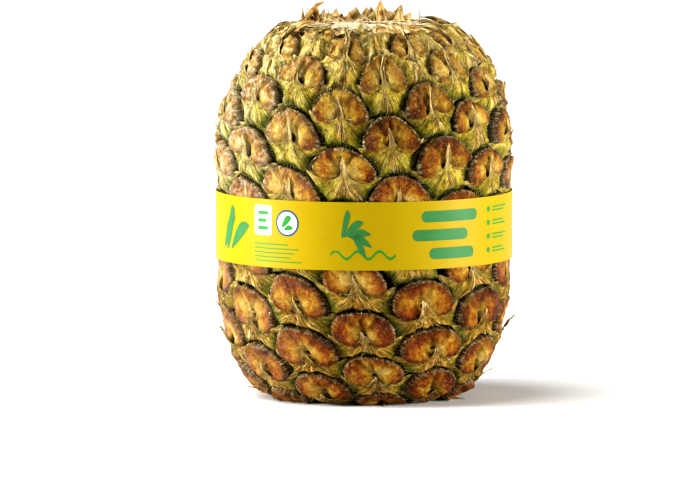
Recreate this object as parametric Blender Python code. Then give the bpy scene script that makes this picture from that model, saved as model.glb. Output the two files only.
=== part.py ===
"""A whole pineapple with its crown twisted off, in a paper band.

The fruit is one solid: a blunt barrel whose rind is a spiral of eyes, with the dried
leaf stubs round the crown's scar fused to it. The band is a closed paper loop. The fruit
stands on its base at the origin, +Z is up and -Y is its front.
"""

import math
import random

import bmesh
import bpy
import numpy as np
from mathutils import Vector
from mathutils.geometry import delaunay_2d_cdt

MM = 0.001
SHARP_ANGLE = math.radians(50.0)

# Barrel of the fruit, in millimetres
FRUIT_HEIGHT = 152.5
SKIN_RADIUS = 59.3
BARREL_REACH = 81.6
BARREL_POWER = 3.1
RIM_SOFTNESS = 3.0
DRAWN_IN = 18.0
PROFILE_STEP = 0.25
PROFILE_SAMPLES = 1600
SOLE_HEIGHT = 1.5
STEM_RADIUS = 13.0
SCAR_RADIUS = 15.5
SCAR_RISE = 1.6

# Spiral of eyes: one step turns two columns and climbs a fifteenth of a pitch
COLUMNS = 15
COLUMN_ANGLE = math.tau / COLUMNS
FIRST_PITCH = 16.7
PITCH_GROWTH = 0.065
LOWEST_EYE = -7
HIGHEST_EYE = 119
FIRST_COLUMN_ANGLE = math.radians(-129.6)
LEAN_PER_PITCH = math.radians(-5.1)
CROWDING = -0.04
CROWDING_WITH_HEIGHT = -0.32
CROWDED_SIDE = math.radians(22.6)
SWAY = 15.0
SWAY_SIDE = math.radians(6.6)

# Plan of one eye, in columns across and pitches up from its middle
NEIGHBOURS = ((1, 8), (0, 15), (-1, 7), (-1, -8), (0, -15), (1, -7))
CELL_ASPECT = (22.0, 24.0)
DOME_RIM_AXES = (0.53, 0.42)
DOME_RIM_ANGLES = (12, 40, 70, 110, 140, 168)
DOME_CREST_AXES = (0.36, 0.27)
DOME_CREST_ANGLES = (22, 62, 118, 158)
DOME_RISE = 0.03
CLEFT_RISE = 0.33
SLIT_ENDS = ((0.05, 0.14), (0.2, 0.05))
RIDGE_ENDS = (-0.03, 0.2)
BELLY_SPOTS = ((0.15, -0.2), (0.34, -0.17))
BELLY_MIDDLE = -0.24
HORN_TIP = (0.58, -0.02)
LIP_TIP = (0.26, -0.05)
WAIST_TIP = (0.41, -0.27)
FOOT_TIP = (0.28, -0.42)

# Relief of one eye, in millimetres above the mean skin
GROOVE = -2.1
CORNER = -1.8
DOME_RIM = 0.6
DOME_CREST = 1.8
CLEFT = 1.2
SLIT = 0.1
BRACT_LIP = 1.5
BRACT_BELLY = 1.4
BRACT_FLANK = 0.8
BRACT_WAIST = -1.0
HORN = -0.3
FOOT = 0.2
RIDGE = 2.1
SPIKE = 3.0
EYE_UNEVENNESS = 0.16
TIP_WANDER = 0.05
CALM_SLOPE = 0.88
CALM_RELIEF = 0.35

# Paper band, in millimetres
BAND_LOW = 57.9
BAND_HIGH = 85.8
BAND_INNER_RADIUS = 61.1
PAPER = 0.4
BAND_SEGMENTS = 72
OVERLAP_SEGMENTS = 5
BAND_CLEARANCE = 0.4
PRESS_REACH = 6.0
PRESS_RELEASE = 0.25

# Dried leaf stubs round the scar, in millimetres and degrees from the front
STUB_COUNT = 14
STUB_ROWS = 4
STUB_THICKNESS = 1.1
STUB_ROOT = 2.0
STUB_TAPER = 0.88
STUB_BOW = 0.9
STUB_WAVE = 0.5
STANDING_LEAVES = (
    {"azimuth": -110.0, "radius": 24.0, "length": 13.0, "width": 6.0, "lean": 4.0, "curl": -62.0},
    {"azimuth": -128.0, "radius": 22.0, "length": 5.0, "width": 15.0, "lean": 12.0, "curl": 10.0},
    {"azimuth": -145.0, "radius": 20.0, "length": 6.5, "width": 4.0, "lean": 4.0, "curl": 8.0},
    {"azimuth": -171.0, "radius": 18.5, "length": 8.0, "width": 9.0, "lean": 4.0, "curl": 16.0},
    {"azimuth": 176.0, "radius": 20.5, "length": 7.5, "width": 7.0, "lean": 6.0, "curl": -14.0},
    {"azimuth": 158.0, "radius": 18.5, "length": 10.5, "width": 10.0, "lean": 6.0, "curl": -8.0},
    {"azimuth": 137.0, "radius": 19.5, "length": 9.0, "width": 8.5, "lean": 4.0, "curl": 10.0},
    {"azimuth": 121.0, "radius": 26.0, "length": 7.0, "width": 3.5, "lean": 2.0, "curl": 4.0},
    {"azimuth": 104.0, "radius": 27.0, "length": 6.5, "width": 4.5, "lean": 24.0, "curl": 44.0},
)

RIND_COLOUR = (0.30, 0.19, 0.05, 1.0)
PAPER_COLOUR = (0.78, 0.58, 0.01, 1.0)


def clear_scene():
    """Removes whatever the file starts with."""
    for item in list(bpy.data.objects):
        bpy.data.objects.remove(item, do_unlink=True)


def make_material(name, colour, roughness):
    """Gives a Principled material of one colour."""
    material = bpy.data.materials.new(name)
    material.use_nodes = True
    shader = material.node_tree.nodes["Principled BSDF"]
    shader.inputs["Base Color"].default_value = colour
    shader.inputs["Roughness"].default_value = roughness
    shader.inputs["Metallic"].default_value = 0.0
    return material


def add_object(name, bm, material):
    """Turns a bmesh in millimetres into a named object in metres."""
    bmesh.ops.scale(bm, vec=(MM, MM, MM), verts=bm.verts)
    bmesh.ops.triangulate(bm, faces=bm.faces)
    bmesh.ops.recalc_face_normals(bm, faces=bm.faces)
    mesh = bpy.data.meshes.new(name)
    bm.to_mesh(mesh)
    bm.free()
    mesh.shade_smooth()
    mesh.set_sharp_from_angle(angle=SHARP_ANGLE)
    mesh.materials.append(material)
    item = bpy.data.objects.new(name, mesh)
    bpy.context.scene.collection.objects.link(item)
    return item


class Barrel:
    """The fruit's outline: a flat sole, a blunt barrel and a flat top, read by arc length."""

    def __init__(self):
        self.half = FRUIT_HEIGHT / 2
        heights = np.linspace(-self.half, self.half, PROFILE_SAMPLES)
        radii = SKIN_RADIUS * (1 - np.abs(heights / BARREL_REACH) ** BARREL_POWER) ** (1 / BARREL_POWER)
        radii = np.concatenate([[radii[0] - DRAWN_IN], radii, [radii[-1] - DRAWN_IN]])
        heights = np.concatenate([[-self.half], heights, [self.half]])
        arc = np.concatenate([[0.0], np.cumsum(np.hypot(np.diff(radii), np.diff(heights)))])
        self.arc = np.arange(0.0, arc[-1], PROFILE_STEP)
        self.radius = self._softened(np.interp(self.arc, arc, radii))
        self.height = self._softened(np.interp(self.arc, arc, heights))
        self.arc = self.arc - DRAWN_IN
        self.slope_radius = np.gradient(self.radius, PROFILE_STEP)
        self.slope_height = np.gradient(self.height, PROFILE_STEP)

    def _softened(self, values):
        """Rounds the corner between the barrel and its flat ends."""
        width = int(RIM_SOFTNESS / PROFILE_STEP) * 2 + 1
        padded = np.pad(values, width // 2, mode="reflect", reflect_type="odd")
        return np.convolve(padded, np.ones(width) / width, mode="valid")

    def place(self, arc):
        """Gives radius, height and outward normal at an arc length from the lower rim."""
        radius, height, along_r, along_z = (
            float(np.interp(arc, self.arc, values))
            for values in (self.radius, self.height, self.slope_radius, self.slope_height))
        length = math.hypot(along_r, along_z)
        return radius, height, along_z / length, -along_r / length


class Rind:
    """The mapping from the regular spiral of eyes to the fruit's uneven surface."""

    def __init__(self):
        self.barrel = Barrel()

    def point(self, column, climb, relief):
        """Places a point given in columns round and fifteenths of a pitch up."""
        arc = FIRST_PITCH / PITCH_GROWTH * (math.exp(PITCH_GROWTH * climb / COLUMNS) - 1)
        height = self.barrel.place(arc)[1]
        share = height / self.barrel.half
        turn = FIRST_COLUMN_ANGLE + column * COLUMN_ANGLE + LEAN_PER_PITCH * climb / COLUMNS
        turn += (CROWDING + CROWDING_WITH_HEIGHT * share) * math.sin(turn - CROWDED_SIDE)
        arc += SWAY * math.sin(turn - SWAY_SIDE) ** 2 * max(0.0, 1 - share ** 2)
        radius, height, out_r, out_z = self.barrel.place(arc)
        height += self.barrel.half
        relief = self.pressed(relief * self.calmed(abs(out_z)), height)
        radius += relief * out_r
        height = max(height + SOLE_HEIGHT * self.sole_share(height) + relief * out_z, 0.0)
        return Vector((radius * math.sin(turn), -radius * math.cos(turn), height))

    def calmed(self, slope):
        """Flattens the eyes that the fruit's flat top and sole have drawn in."""
        level = max(0.0, slope - CALM_SLOPE) / (1 - CALM_SLOPE)
        return 1 - (1 - CALM_RELIEF) * level

    def sole_share(self, height):
        """Says how much the sole is lifted, so that only the eyes' tops touch the ground."""
        return max(0.0, 1 - height / (3 * SOLE_HEIGHT))

    def pressed(self, relief, height):
        """Keeps the relief below the paper band and a little way past its edges."""
        middle = (BAND_LOW + BAND_HIGH) / 2
        beyond = abs(height - middle) - (BAND_HIGH - BAND_LOW) / 2 - PRESS_REACH
        room = BAND_INNER_RADIUS - BAND_CLEARANCE - SKIN_RADIUS
        return min(relief, room + PRESS_RELEASE * max(0.0, beyond))


class EyeCell:
    """One eye on its six-sided cell, in columns and pitches from its middle."""

    def __init__(self):
        self.points = []
        self.edges = []
        self._add_boundary()
        self.boundary_size = len(self.points)
        self._add_dome()
        self.spike = self._add_bract()
        flat = [Vector((u * CELL_ASPECT[0], v * CELL_ASPECT[1])) for u, v, _ in self.points]
        outline = list(range(self.boundary_size))
        self.faces = delaunay_2d_cdt(flat, self.edges, [outline], 1, 1e-5)[2]

    def _add(self, u, v, relief):
        """Adds a point and gives its number."""
        self.points.append((u, v, relief))
        return len(self.points) - 1

    def _add_boundary(self):
        """Six corners, each the middle of three eyes, and the middles between them."""
        steps = [(across, up / COLUMNS) for across, up in NEIGHBOURS]
        corners = [((a[0] + b[0]) / 3, (a[1] + b[1]) / 3) for a, b in zip(steps, steps[1:] + steps[:1])]
        for here, there in zip(corners, corners[1:] + corners[:1]):
            self._add(here[0], here[1], CORNER)
            self._add((here[0] + there[0]) / 2, (here[1] + there[1]) / 2, GROOVE)

    def _add_arc(self, axes, angles, relief):
        """Adds points on an upright ellipse."""
        for angle in angles:
            turn = math.radians(angle)
            self._add(axes[0] * math.cos(turn), DOME_RISE + axes[1] * math.sin(turn), relief)

    def _add_dome(self):
        """The two puffy sepals: a steep round rim, a crest, and a cleft and a slit between."""
        self._add_arc(DOME_RIM_AXES, DOME_RIM_ANGLES, DOME_RIM)
        self._add_arc(DOME_CREST_AXES, DOME_CREST_ANGLES, DOME_CREST)
        self._add(0.0, CLEFT_RISE, CLEFT)
        for side in (-1, 1):
            for across, up in SLIT_ENDS:
                self._add(side * across, up, SLIT)

    def _add_bract(self):
        """The star-shaped bract: two horns, two feet and a ridge that ends in a spike."""
        ridge = self._add(0.0, RIDGE_ENDS[0], RIDGE)
        spike = self._add(0.0, RIDGE_ENDS[1], SPIKE)
        belly = self._add(0.0, BELLY_MIDDLE, BRACT_BELLY)
        self._add(0.0, FOOT_TIP[1], BRACT_WAIST)
        self.edges.extend([(ridge, spike), (ridge, belly)])
        for side in (-1, 1):
            horn = self._add(side * HORN_TIP[0], HORN_TIP[1], HORN)
            lip = self._add(side * LIP_TIP[0], LIP_TIP[1], BRACT_LIP)
            self._add(side * BELLY_SPOTS[0][0], BELLY_SPOTS[0][1], BRACT_BELLY)
            self._add(side * BELLY_SPOTS[1][0], BELLY_SPOTS[1][1], BRACT_FLANK)
            self._add(side * WAIST_TIP[0], WAIST_TIP[1], BRACT_WAIST)
            self._add(side * FOOT_TIP[0], FOOT_TIP[1], FOOT)
            self.edges.extend([(horn, lip), (lip, ridge)])
        return spike


def add_eyes(bm, rind, cell):
    """Repeats the eye along its spiral and welds neighbours along their shared grooves."""
    draw = random.Random(15)
    shared = {}
    for step in range(LOWEST_EYE, HIGHEST_EYE + 1):
        vigour = 1 + draw.uniform(-EYE_UNEVENNESS, EYE_UNEVENNESS)
        tip = (draw.uniform(-TIP_WANDER, TIP_WANDER), draw.uniform(-TIP_WANDER, TIP_WANDER))
        corners = []
        for index, (u, v, relief) in enumerate(cell.points):
            if index < cell.boundary_size:
                key = (round((2 * step + u) % COLUMNS, 3) % COLUMNS, round(step + COLUMNS * v, 3))
                if key not in shared:
                    shared[key] = bm.verts.new(rind.point(key[0], key[1], relief))
                corners.append(shared[key])
                continue
            if index == cell.spike:
                u, v = u + tip[0], v + tip[1]
            place = rind.point(2 * step + u, step + COLUMNS * v, relief * vigour)
            corners.append(bm.verts.new(place))
        for face in cell.faces:
            bm.faces.new([corners[index] for index in face])


def open_loop(bm, above):
    """Gives the edges of the hole at the top or at the base."""
    middle = FRUIT_HEIGHT / 2
    return [edge for edge in bm.edges
            if edge.is_boundary and (edge.verts[0].co.z > middle) == above]


def draw_in(bm, edges, radius, height):
    """Extrudes a loop of edges to a level circle and gives the new loop."""
    result = bmesh.ops.extrude_edge_only(bm, edges=edges)
    for item in result["geom"]:
        if isinstance(item, bmesh.types.BMVert):
            turn = math.atan2(item.co.y, item.co.x)
            item.co = Vector((radius * math.cos(turn), radius * math.sin(turn), height))
    return [item for item in result["geom"] if isinstance(item, bmesh.types.BMEdge) and item.is_boundary]


def close_end(bm, above, rings):
    """Closes the top or the base by level rings and a fan round the axis."""
    loop = open_loop(bm, above)
    for radius, height in rings:
        loop = draw_in(bm, loop, radius, height)
    centre = bm.verts.new((0.0, 0.0, rings[-1][1]))
    for edge in loop:
        bm.faces.new((edge.verts[0], edge.verts[1], centre))


def make_fruit(material):
    """The rind's eyes, closed by the cut stem below and the crown's scar above."""
    bm = bmesh.new()
    add_eyes(bm, Rind(), EyeCell())
    close_end(bm, False, ((STEM_RADIUS + 0.8, SOLE_HEIGHT), (STEM_RADIUS, 0.0)))
    top = FRUIT_HEIGHT
    close_end(bm, True, ((SCAR_RADIUS, top + SCAR_RISE * 0.6), (SCAR_RADIUS - 2.0, top + SCAR_RISE)))
    return add_object("fruit", bm, material)


def leaf_stub(name, material, azimuth, radius, length, width, lean, curl):
    """A thin dried leaf end, rooted in the top and curling as it rises to its tip."""
    bm = bmesh.new()
    facing = math.radians(azimuth)
    outward = Vector((math.sin(facing), -math.cos(facing), 0.0))
    across = Vector((math.cos(facing), math.sin(facing), 0.0))
    up = Vector((0.0, 0.0, 1.0))
    spine = outward * radius + up * (FRUIT_HEIGHT - STUB_ROOT)
    angle = math.radians(lean)
    inner = []
    outer = []
    for row in range(STUB_ROWS + 1):
        share = row / STUB_ROWS
        face = outward * math.cos(angle) - up * math.sin(angle)
        half = across * width / 2 * (1 - STUB_TAPER * share ** 1.4)
        wall = face * STUB_THICKNESS / 2 * (1 - 0.4 * share)
        bow = face * STUB_BOW * (1 - share)
        middle = spine + face * STUB_WAVE * math.sin(3.0 * share + azimuth)
        line = (middle - half + bow, middle, middle + half + bow)
        inner.append([bm.verts.new(place - wall) for place in line])
        outer.append([bm.verts.new(place + wall) for place in line])
        spine = spine + (outward * math.sin(angle) + up * math.cos(angle)) * (length + STUB_ROOT) / STUB_ROWS
        angle += math.radians(curl) / STUB_ROWS
    for row in range(STUB_ROWS):
        for sheet in (inner, outer):
            low, high = sheet[row], sheet[row + 1]
            for x in range(2):
                bm.faces.new((low[x], low[x + 1], high[x]))
                bm.faces.new((low[x + 1], high[x + 1], high[x]))
        for x in (0, 2):
            bm.faces.new((inner[row][x], outer[row][x], outer[row + 1][x], inner[row + 1][x]))
    for row in (0, STUB_ROWS):
        for x in range(2):
            bm.faces.new((inner[row][x], inner[row][x + 1], outer[row][x + 1], outer[row][x]))
    return add_object(name, bm, material)


def make_stubs(material):
    """The leaf ends that show, and lower ones all round the scar."""
    draw = random.Random(4)
    stubs = [leaf_stub(f"standing_leaf_{number}", material, **leaf)
             for number, leaf in enumerate(STANDING_LEAVES)]
    for number in range(STUB_COUNT):
        azimuth = (number + draw.uniform(0.3, 0.7)) * 360.0 / STUB_COUNT
        behind = (1 - math.cos(math.radians(azimuth))) / 2
        stubs.append(leaf_stub(
            f"leaf_stub_{number}", material, azimuth,
            radius=draw.uniform(23.0, 27.0), length=draw.uniform(1.6, 2.4) + 2.0 * behind,
            width=draw.uniform(6.0, 9.0), lean=draw.uniform(30.0, 50.0), curl=draw.uniform(5.0, 25.0)))
    return stubs


def fuse(body, pieces):
    """Joins the pieces to the body with one union, and removes them."""
    group = bpy.data.collections.new("fused_pieces")
    bpy.context.scene.collection.children.link(group)
    for piece in pieces:
        bpy.context.scene.collection.objects.unlink(piece)
        group.objects.link(piece)
    union = body.modifiers.new("union", "BOOLEAN")
    union.operation = "UNION"
    union.operand_type = "COLLECTION"
    union.collection = group
    union.solver = "EXACT"
    bpy.context.view_layer.update()
    fused = bpy.data.meshes.new_from_object(body.evaluated_get(bpy.context.evaluated_depsgraph_get()))
    body.modifiers.clear()
    body.data = fused
    fused.name = body.name
    for piece in pieces:
        bpy.data.objects.remove(piece, do_unlink=True)
    bpy.data.collections.remove(group)


def make_band(material):
    """A paper loop, doubled at the back where its glued ends overlap."""
    bm = bmesh.new()
    rings = []
    for segment in range(BAND_SEGMENTS):
        turn = math.tau * segment / BAND_SEGMENTS
        doubled = abs(segment - BAND_SEGMENTS // 2) <= OVERLAP_SEGMENTS // 2
        outer = BAND_INNER_RADIUS + PAPER * (2 if doubled else 1)
        rings.append([bm.verts.new((radius * math.sin(turn), -radius * math.cos(turn), height))
                      for radius, height in ((BAND_INNER_RADIUS, BAND_LOW), (outer, BAND_LOW),
                                             (outer, BAND_HIGH), (BAND_INNER_RADIUS, BAND_HIGH))])
    for here, there in zip(rings, rings[1:] + rings[:1]):
        for side in range(4):
            after = (side + 1) % 4
            bm.faces.new((here[side], here[after], there[after], there[side]))
    return add_object("band", bm, material)


def main():
    """Makes the fruit and its band."""
    clear_scene()
    rind = make_material("pineapple_rind", RIND_COLOUR, 0.6)
    paper = make_material("coated_paper", PAPER_COLOUR, 0.45)
    fruit = make_fruit(rind)
    fuse(fruit, make_stubs(rind))
    make_band(paper)


main()
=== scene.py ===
"""Dresses a whole pineapple, its crown twisted off, that wears a printed paper band."""

from __future__ import annotations

import itertools
import logging
import math
import random
from dataclasses import dataclass, field
from enum import Enum
from functools import partial
from typing import Any, Callable, Sequence

import bmesh
import bpy
import numpy as np
from bpy.types import Material, Mesh, NodeSocket, NodeTree, Object
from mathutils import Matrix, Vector


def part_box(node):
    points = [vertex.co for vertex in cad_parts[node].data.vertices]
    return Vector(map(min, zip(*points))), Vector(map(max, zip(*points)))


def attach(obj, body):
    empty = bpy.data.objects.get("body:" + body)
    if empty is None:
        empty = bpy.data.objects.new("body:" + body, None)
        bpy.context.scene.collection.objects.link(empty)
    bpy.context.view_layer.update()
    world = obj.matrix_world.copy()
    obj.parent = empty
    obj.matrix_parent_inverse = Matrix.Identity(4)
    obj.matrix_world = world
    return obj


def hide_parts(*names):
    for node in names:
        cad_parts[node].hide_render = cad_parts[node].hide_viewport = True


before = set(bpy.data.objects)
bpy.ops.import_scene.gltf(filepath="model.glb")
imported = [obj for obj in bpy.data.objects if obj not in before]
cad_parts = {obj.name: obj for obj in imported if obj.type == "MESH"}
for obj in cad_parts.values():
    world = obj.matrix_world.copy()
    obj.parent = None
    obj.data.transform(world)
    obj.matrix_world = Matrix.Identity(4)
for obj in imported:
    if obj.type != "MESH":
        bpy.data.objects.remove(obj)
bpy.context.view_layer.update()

LOG = logging.getLogger("pineapple")
MM = 0.001
COLUMNS = 15
LATTICE = (1.0, COLUMNS, 1.0)
Array = np.ndarray
Shape = tuple[Array, list[Any]]
Stops = tuple[tuple[float, str], ...]
Adder = Callable[..., Any]
Edges = tuple[Array, Array, Array]


def linear(hex_colour: str) -> tuple[float, float, float, float]:
    """Turns an sRGB hex colour into the linear colour that a shader takes.

    Args:
        hex_colour: Six hex digits after a hash sign.

    Returns:
        Red, green, blue and alpha.
    """
    parts = [int(hex_colour[place:place + 2], 16) / 255 for place in (1, 3, 5)]
    red, green, blue = (c / 12.92 if c <= 0.04045 else ((c + 0.055) / 1.055) ** 2.4 for c in parts)
    return red, green, blue, 1.0


def add_node(tree: NodeTree, kind: str, inputs: dict[Any, Any] | Sequence[Any] = (),
             stops: Sequence[tuple[float, str]] = (), output: str | None = None,
             **settings: Any) -> NodeSocket | None:
    """Adds a node with its settings, values and links.

    Args:
        tree: The node tree to add to.
        kind: The node's type name.
        inputs: Values, or the sockets that feed them, in the inputs' order or by name or number.
        stops: Places and hex colours of a colour ramp.
        output: Name of the output to give back, where it isn't the first one in use.
        settings: The node's own properties.

    Returns:
        The output, or none where the node has none.
    """
    node = tree.nodes.new(kind)
    for name, value in settings.items():
        setattr(node, name, value)
    for key, value in (inputs if isinstance(inputs, dict) else dict(enumerate(inputs))).items():
        if isinstance(value, NodeSocket):
            tree.links.new(value, node.inputs[key])
        else:
            node.inputs[key].default_value = value
    if stops:
        elements = node.color_ramp.elements
        while len(elements) < len(stops):
            elements.new(0.5)
        for element, (place, colour) in zip(elements, stops):
            element.position = place
            element.color = linear(colour)
    if output:
        return node.outputs[output]
    return next((socket for socket in node.outputs if socket.enabled), None)


def smooth_step(low: float, high: float, values: Array) -> Array:
    """Eases from one value to another.

    Args:
        low: Where the result is 0.
        high: Where the result is 1, above or below the first.
        values: The places to work it out for.

    Returns:
        The eased share at each place.
    """
    share = np.clip((values - low) / (high - low), 0.0, 1.0)
    return share * share * (3 - 2 * share)


def smooth_noise(points: Array, size: float, seed: int) -> Array:
    """Gives smooth noise at points in space.

    Args:
        points: One row of three coordinates for each point.
        size: Distance over which the noise changes, in the points' unit.
        seed: Picks the pattern.

    Returns:
        One value from -1 to 1 for each point.
    """
    place = points / size + seed * 17.31
    base = np.floor(place).astype(np.int64)
    part = place - base
    part = part * part * (3 - 2 * part)
    total = np.zeros(len(points))
    for corner in itertools.product((0, 1), repeat=3):
        cell = base + corner
        code = (cell[:, 0] * 73856093) ^ (cell[:, 1] * 19349663) ^ (cell[:, 2] * 83492791)
        code = (code * 2654435761) & 0xFFFFFFFF
        code = ((code ^ (code >> 15)) * 2246822519) & 0xFFFFFFFF
        value = ((code >> 9) & 0x3FF) / 511.5 - 1
        total += value * np.prod(np.where(corner, part, 1 - part), axis=1)
    return total


def ring_faces(start: int, rings: int, count: int, turned: bool = False) -> list[Any]:
    """Gives the quads between rings of points that each close round.

    Args:
        start: Number of the first ring's first point.
        rings: How many steps from ring to ring.
        count: Points in a ring.
        turned: Whether the faces look the other way.

    Returns:
        The faces.
    """
    faces = []
    for ring, spot in itertools.product(range(rings), range(count)):
        here = start + ring * count + spot
        after = start + ring * count + (spot + 1) % count
        faces.append((here, here + count, after + count, after) if turned
                     else (here, after, after + count, here + count))
    return faces


def joined(shapes: Sequence[Shape]) -> Shape:
    """Joins shapes of points and faces into one.

    Args:
        shapes: The points and faces of each.

    Returns:
        All points, and the faces with their numbers moved on.
    """
    faces, count = [], 0
    for points, sides in shapes:
        faces.extend(tuple(index + count for index in side) for side in sides)
        count += len(points)
    return np.concatenate([points for points, _ in shapes]), faces


def make_object(name: str, points: Array, faces: Sequence[Sequence[int]], edges: Sequence[Any] = (),
                values: dict[str, Array] | None = None, unit: float = MM,
                material: Material | None = None) -> Object:
    """Makes a mesh object from points, faces and values at its points.

    Args:
        name: The object's name.
        points: One row of coordinates for each point.
        faces: Point numbers of each face.
        edges: Point numbers of loose edges.
        values: Attribute name to one number, or one vector, for each point.
        unit: Length of the points' unit, in metres.
        material: The object's finish, or none for a guide or a patch.

    Returns:
        The object, linked to the scene.
    """
    mesh = bpy.data.meshes.new(name)
    mesh.from_pydata((np.asarray(points) * unit).tolist(), list(edges), [list(face) for face in faces])
    write_values(mesh, values or {})
    if material:
        mesh.materials.append(material)
    mesh.shade_smooth()
    mesh.update()
    item = bpy.data.objects.new(name, mesh)
    bpy.context.scene.collection.objects.link(item)
    return item


def read_points(mesh: Mesh) -> Array:
    """Gives a mesh's points.

    Args:
        mesh: The mesh to read.

    Returns:
        One row for each point.
    """
    flat = np.empty(len(mesh.vertices) * 3, dtype=np.float32)
    mesh.vertices.foreach_get("co", flat)
    return flat.reshape(-1, 3).astype(float)


def write_points(mesh: Mesh, points: Array) -> None:
    """Moves a mesh's points."""
    mesh.vertices.foreach_set("co", points.astype(np.float32).ravel())
    mesh.update()


def read_value(mesh: Mesh, name: str) -> Array:
    """Gives a mesh's attribute.

    Args:
        mesh: The mesh to read.
        name: The attribute's name.

    Returns:
        One number, or one row of three, for each point.
    """
    attribute = mesh.attributes[name]
    size, key = (3, "vector") if attribute.data_type == "FLOAT_VECTOR" else (1, "value")
    flat = np.empty(len(mesh.vertices) * size, dtype=np.float32)
    attribute.data.foreach_get(key, flat)
    return flat.reshape(-1, 3).astype(float) if size == 3 else flat.astype(float)


def write_values(mesh: Mesh, values: dict[str, Array]) -> None:
    """Stores values at a mesh's points for its finish or for nodes to read.

    Args:
        mesh: The mesh to write to.
        values: Attribute name to one number, or one vector, for each point.
    """
    for name, numbers in values.items():
        flat = np.asarray(numbers, dtype=np.float32)
        kind, key = ("FLOAT", "value") if flat.ndim == 1 else ("FLOAT_VECTOR", "vector")
        target = mesh.attributes.get(name) or mesh.attributes.new(name, kind, "POINT")
        target.data.foreach_set(key, flat.ravel())


def face_outwards(mesh: Mesh) -> None:
    """Turns the faces of closed shells outwards and smooths them.

    Args:
        mesh: The mesh of one or more shells.
    """
    bm = bmesh.new()
    bm.from_mesh(mesh)
    bmesh.ops.recalc_face_normals(bm, faces=bm.faces)
    bm.to_mesh(mesh)
    bm.free()
    mesh.shade_smooth()


def finish_piece(item: Object, slot: str, *nodes: str) -> None:
    """Fastens a piece to the part's one body and hides the solids that it stands for.

    Args:
        item: The finished piece.
        slot: The record's material slot; not used.
        nodes: The solids that it replaces.
    """
    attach(item, "root")
    if nodes:
        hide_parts(*nodes)
    LOG.info("%s: %d points, %d faces", item.name, len(item.data.vertices), len(item.data.polygons))


class EyeKind(Enum):
    """The forms of eye: open ones below the band, long-bracted ones above it, dried ones at the top."""

    LOWER = "lower"
    UPPER = "upper"
    CROWN = "crown"


@dataclass(frozen=True)
class EyeStyle:
    """Plan of one kind of eye, in columns across and pitches up, with heights in millimetres."""

    dome_width: float
    dome_height: float
    dome_middle: float
    dome_power: float
    puff: float
    horn: tuple[float, float]
    lip: tuple[float, float]
    spine_foot: tuple[float, float]
    spine_tip: float
    heart: float
    kinds: int


STYLES = {
    EyeKind.LOWER: EyeStyle(0.505, 0.475, 0.03, 2.05, 2.8, (0.64, -0.06), (0.27, -0.21),
                            (0.095, -0.15), 0.14, -0.33, 5),
    EyeKind.UPPER: EyeStyle(0.60, 0.475, 0.035, 1.85, 2.9, (0.71, 0.02), (0.30, -0.085),
                            (0.06, 0.0), 0.36, -0.2, 6),
    EyeKind.CROWN: EyeStyle(0.55, 0.43, 0.03, 1.9, 2.4, (0.64, 0.04), (0.30, -0.06),
                            (0.10, 0.02), 0.60, -0.17, 4),
}
AROUND = ((1, 8), (0, 15), (-1, 7), (-1, -8), (0, -15), (1, -7))


@dataclass
class Barrel:
    """The fruit's outline by arc length: a flat sole, a blunt barrel and a flat top, in millimetres."""

    height: float = 152.5
    skin_radius: float = 59.3
    reach: float = 81.6
    power: float = 3.1
    softness: float = 3.0
    drawn_in: float = 18.0
    step: float = 0.25

    def __post_init__(self) -> None:
        """Works out the outline once."""
        half = self.height / 2
        heights = np.linspace(-half, half, 1600)
        radii = self.skin_radius * (1 - np.abs(heights / self.reach) ** self.power) ** (1 / self.power)
        radii = np.concatenate([[radii[0] - self.drawn_in], radii, [radii[-1] - self.drawn_in]])
        heights = np.concatenate([[-half], heights, [half]])
        arc = np.concatenate([[0.0], np.cumsum(np.hypot(np.diff(radii), np.diff(heights)))])
        self.arc = np.arange(0.0, arc[-1], self.step)
        self.radius = self._softened(np.interp(self.arc, arc, radii))
        self.level = self._softened(np.interp(self.arc, arc, heights))
        self.arc = self.arc - self.drawn_in
        self.slope_radius = np.gradient(self.radius, self.step)
        self.slope_level = np.gradient(self.level, self.step)

    def _softened(self, values: Array) -> Array:
        """Rounds the corners between the barrel and its flat ends.

        Args:
            values: Radii or levels along the outline.

        Returns:
            The rounded values.
        """
        width = int(self.softness / self.step) * 2 + 1
        padded = np.pad(values, width // 2, mode="reflect", reflect_type="odd")
        return np.convolve(padded, np.ones(width) / width, mode="valid")

    def place(self, arc: Array) -> tuple[Array, Array, Array, Array]:
        """Gives radius, level and outward normal at arc lengths from the lower rim.

        Args:
            arc: Arc lengths from the lower rim.

        Returns:
            Radius, level, and the normal's outward and upward parts.
        """
        radius, level, along_r, along_z = (
            np.interp(arc, self.arc, values)
            for values in (self.radius, self.level, self.slope_radius, self.slope_level))
        length = np.hypot(along_r, along_z)
        return radius, level, along_z / length, -along_r / length


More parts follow.
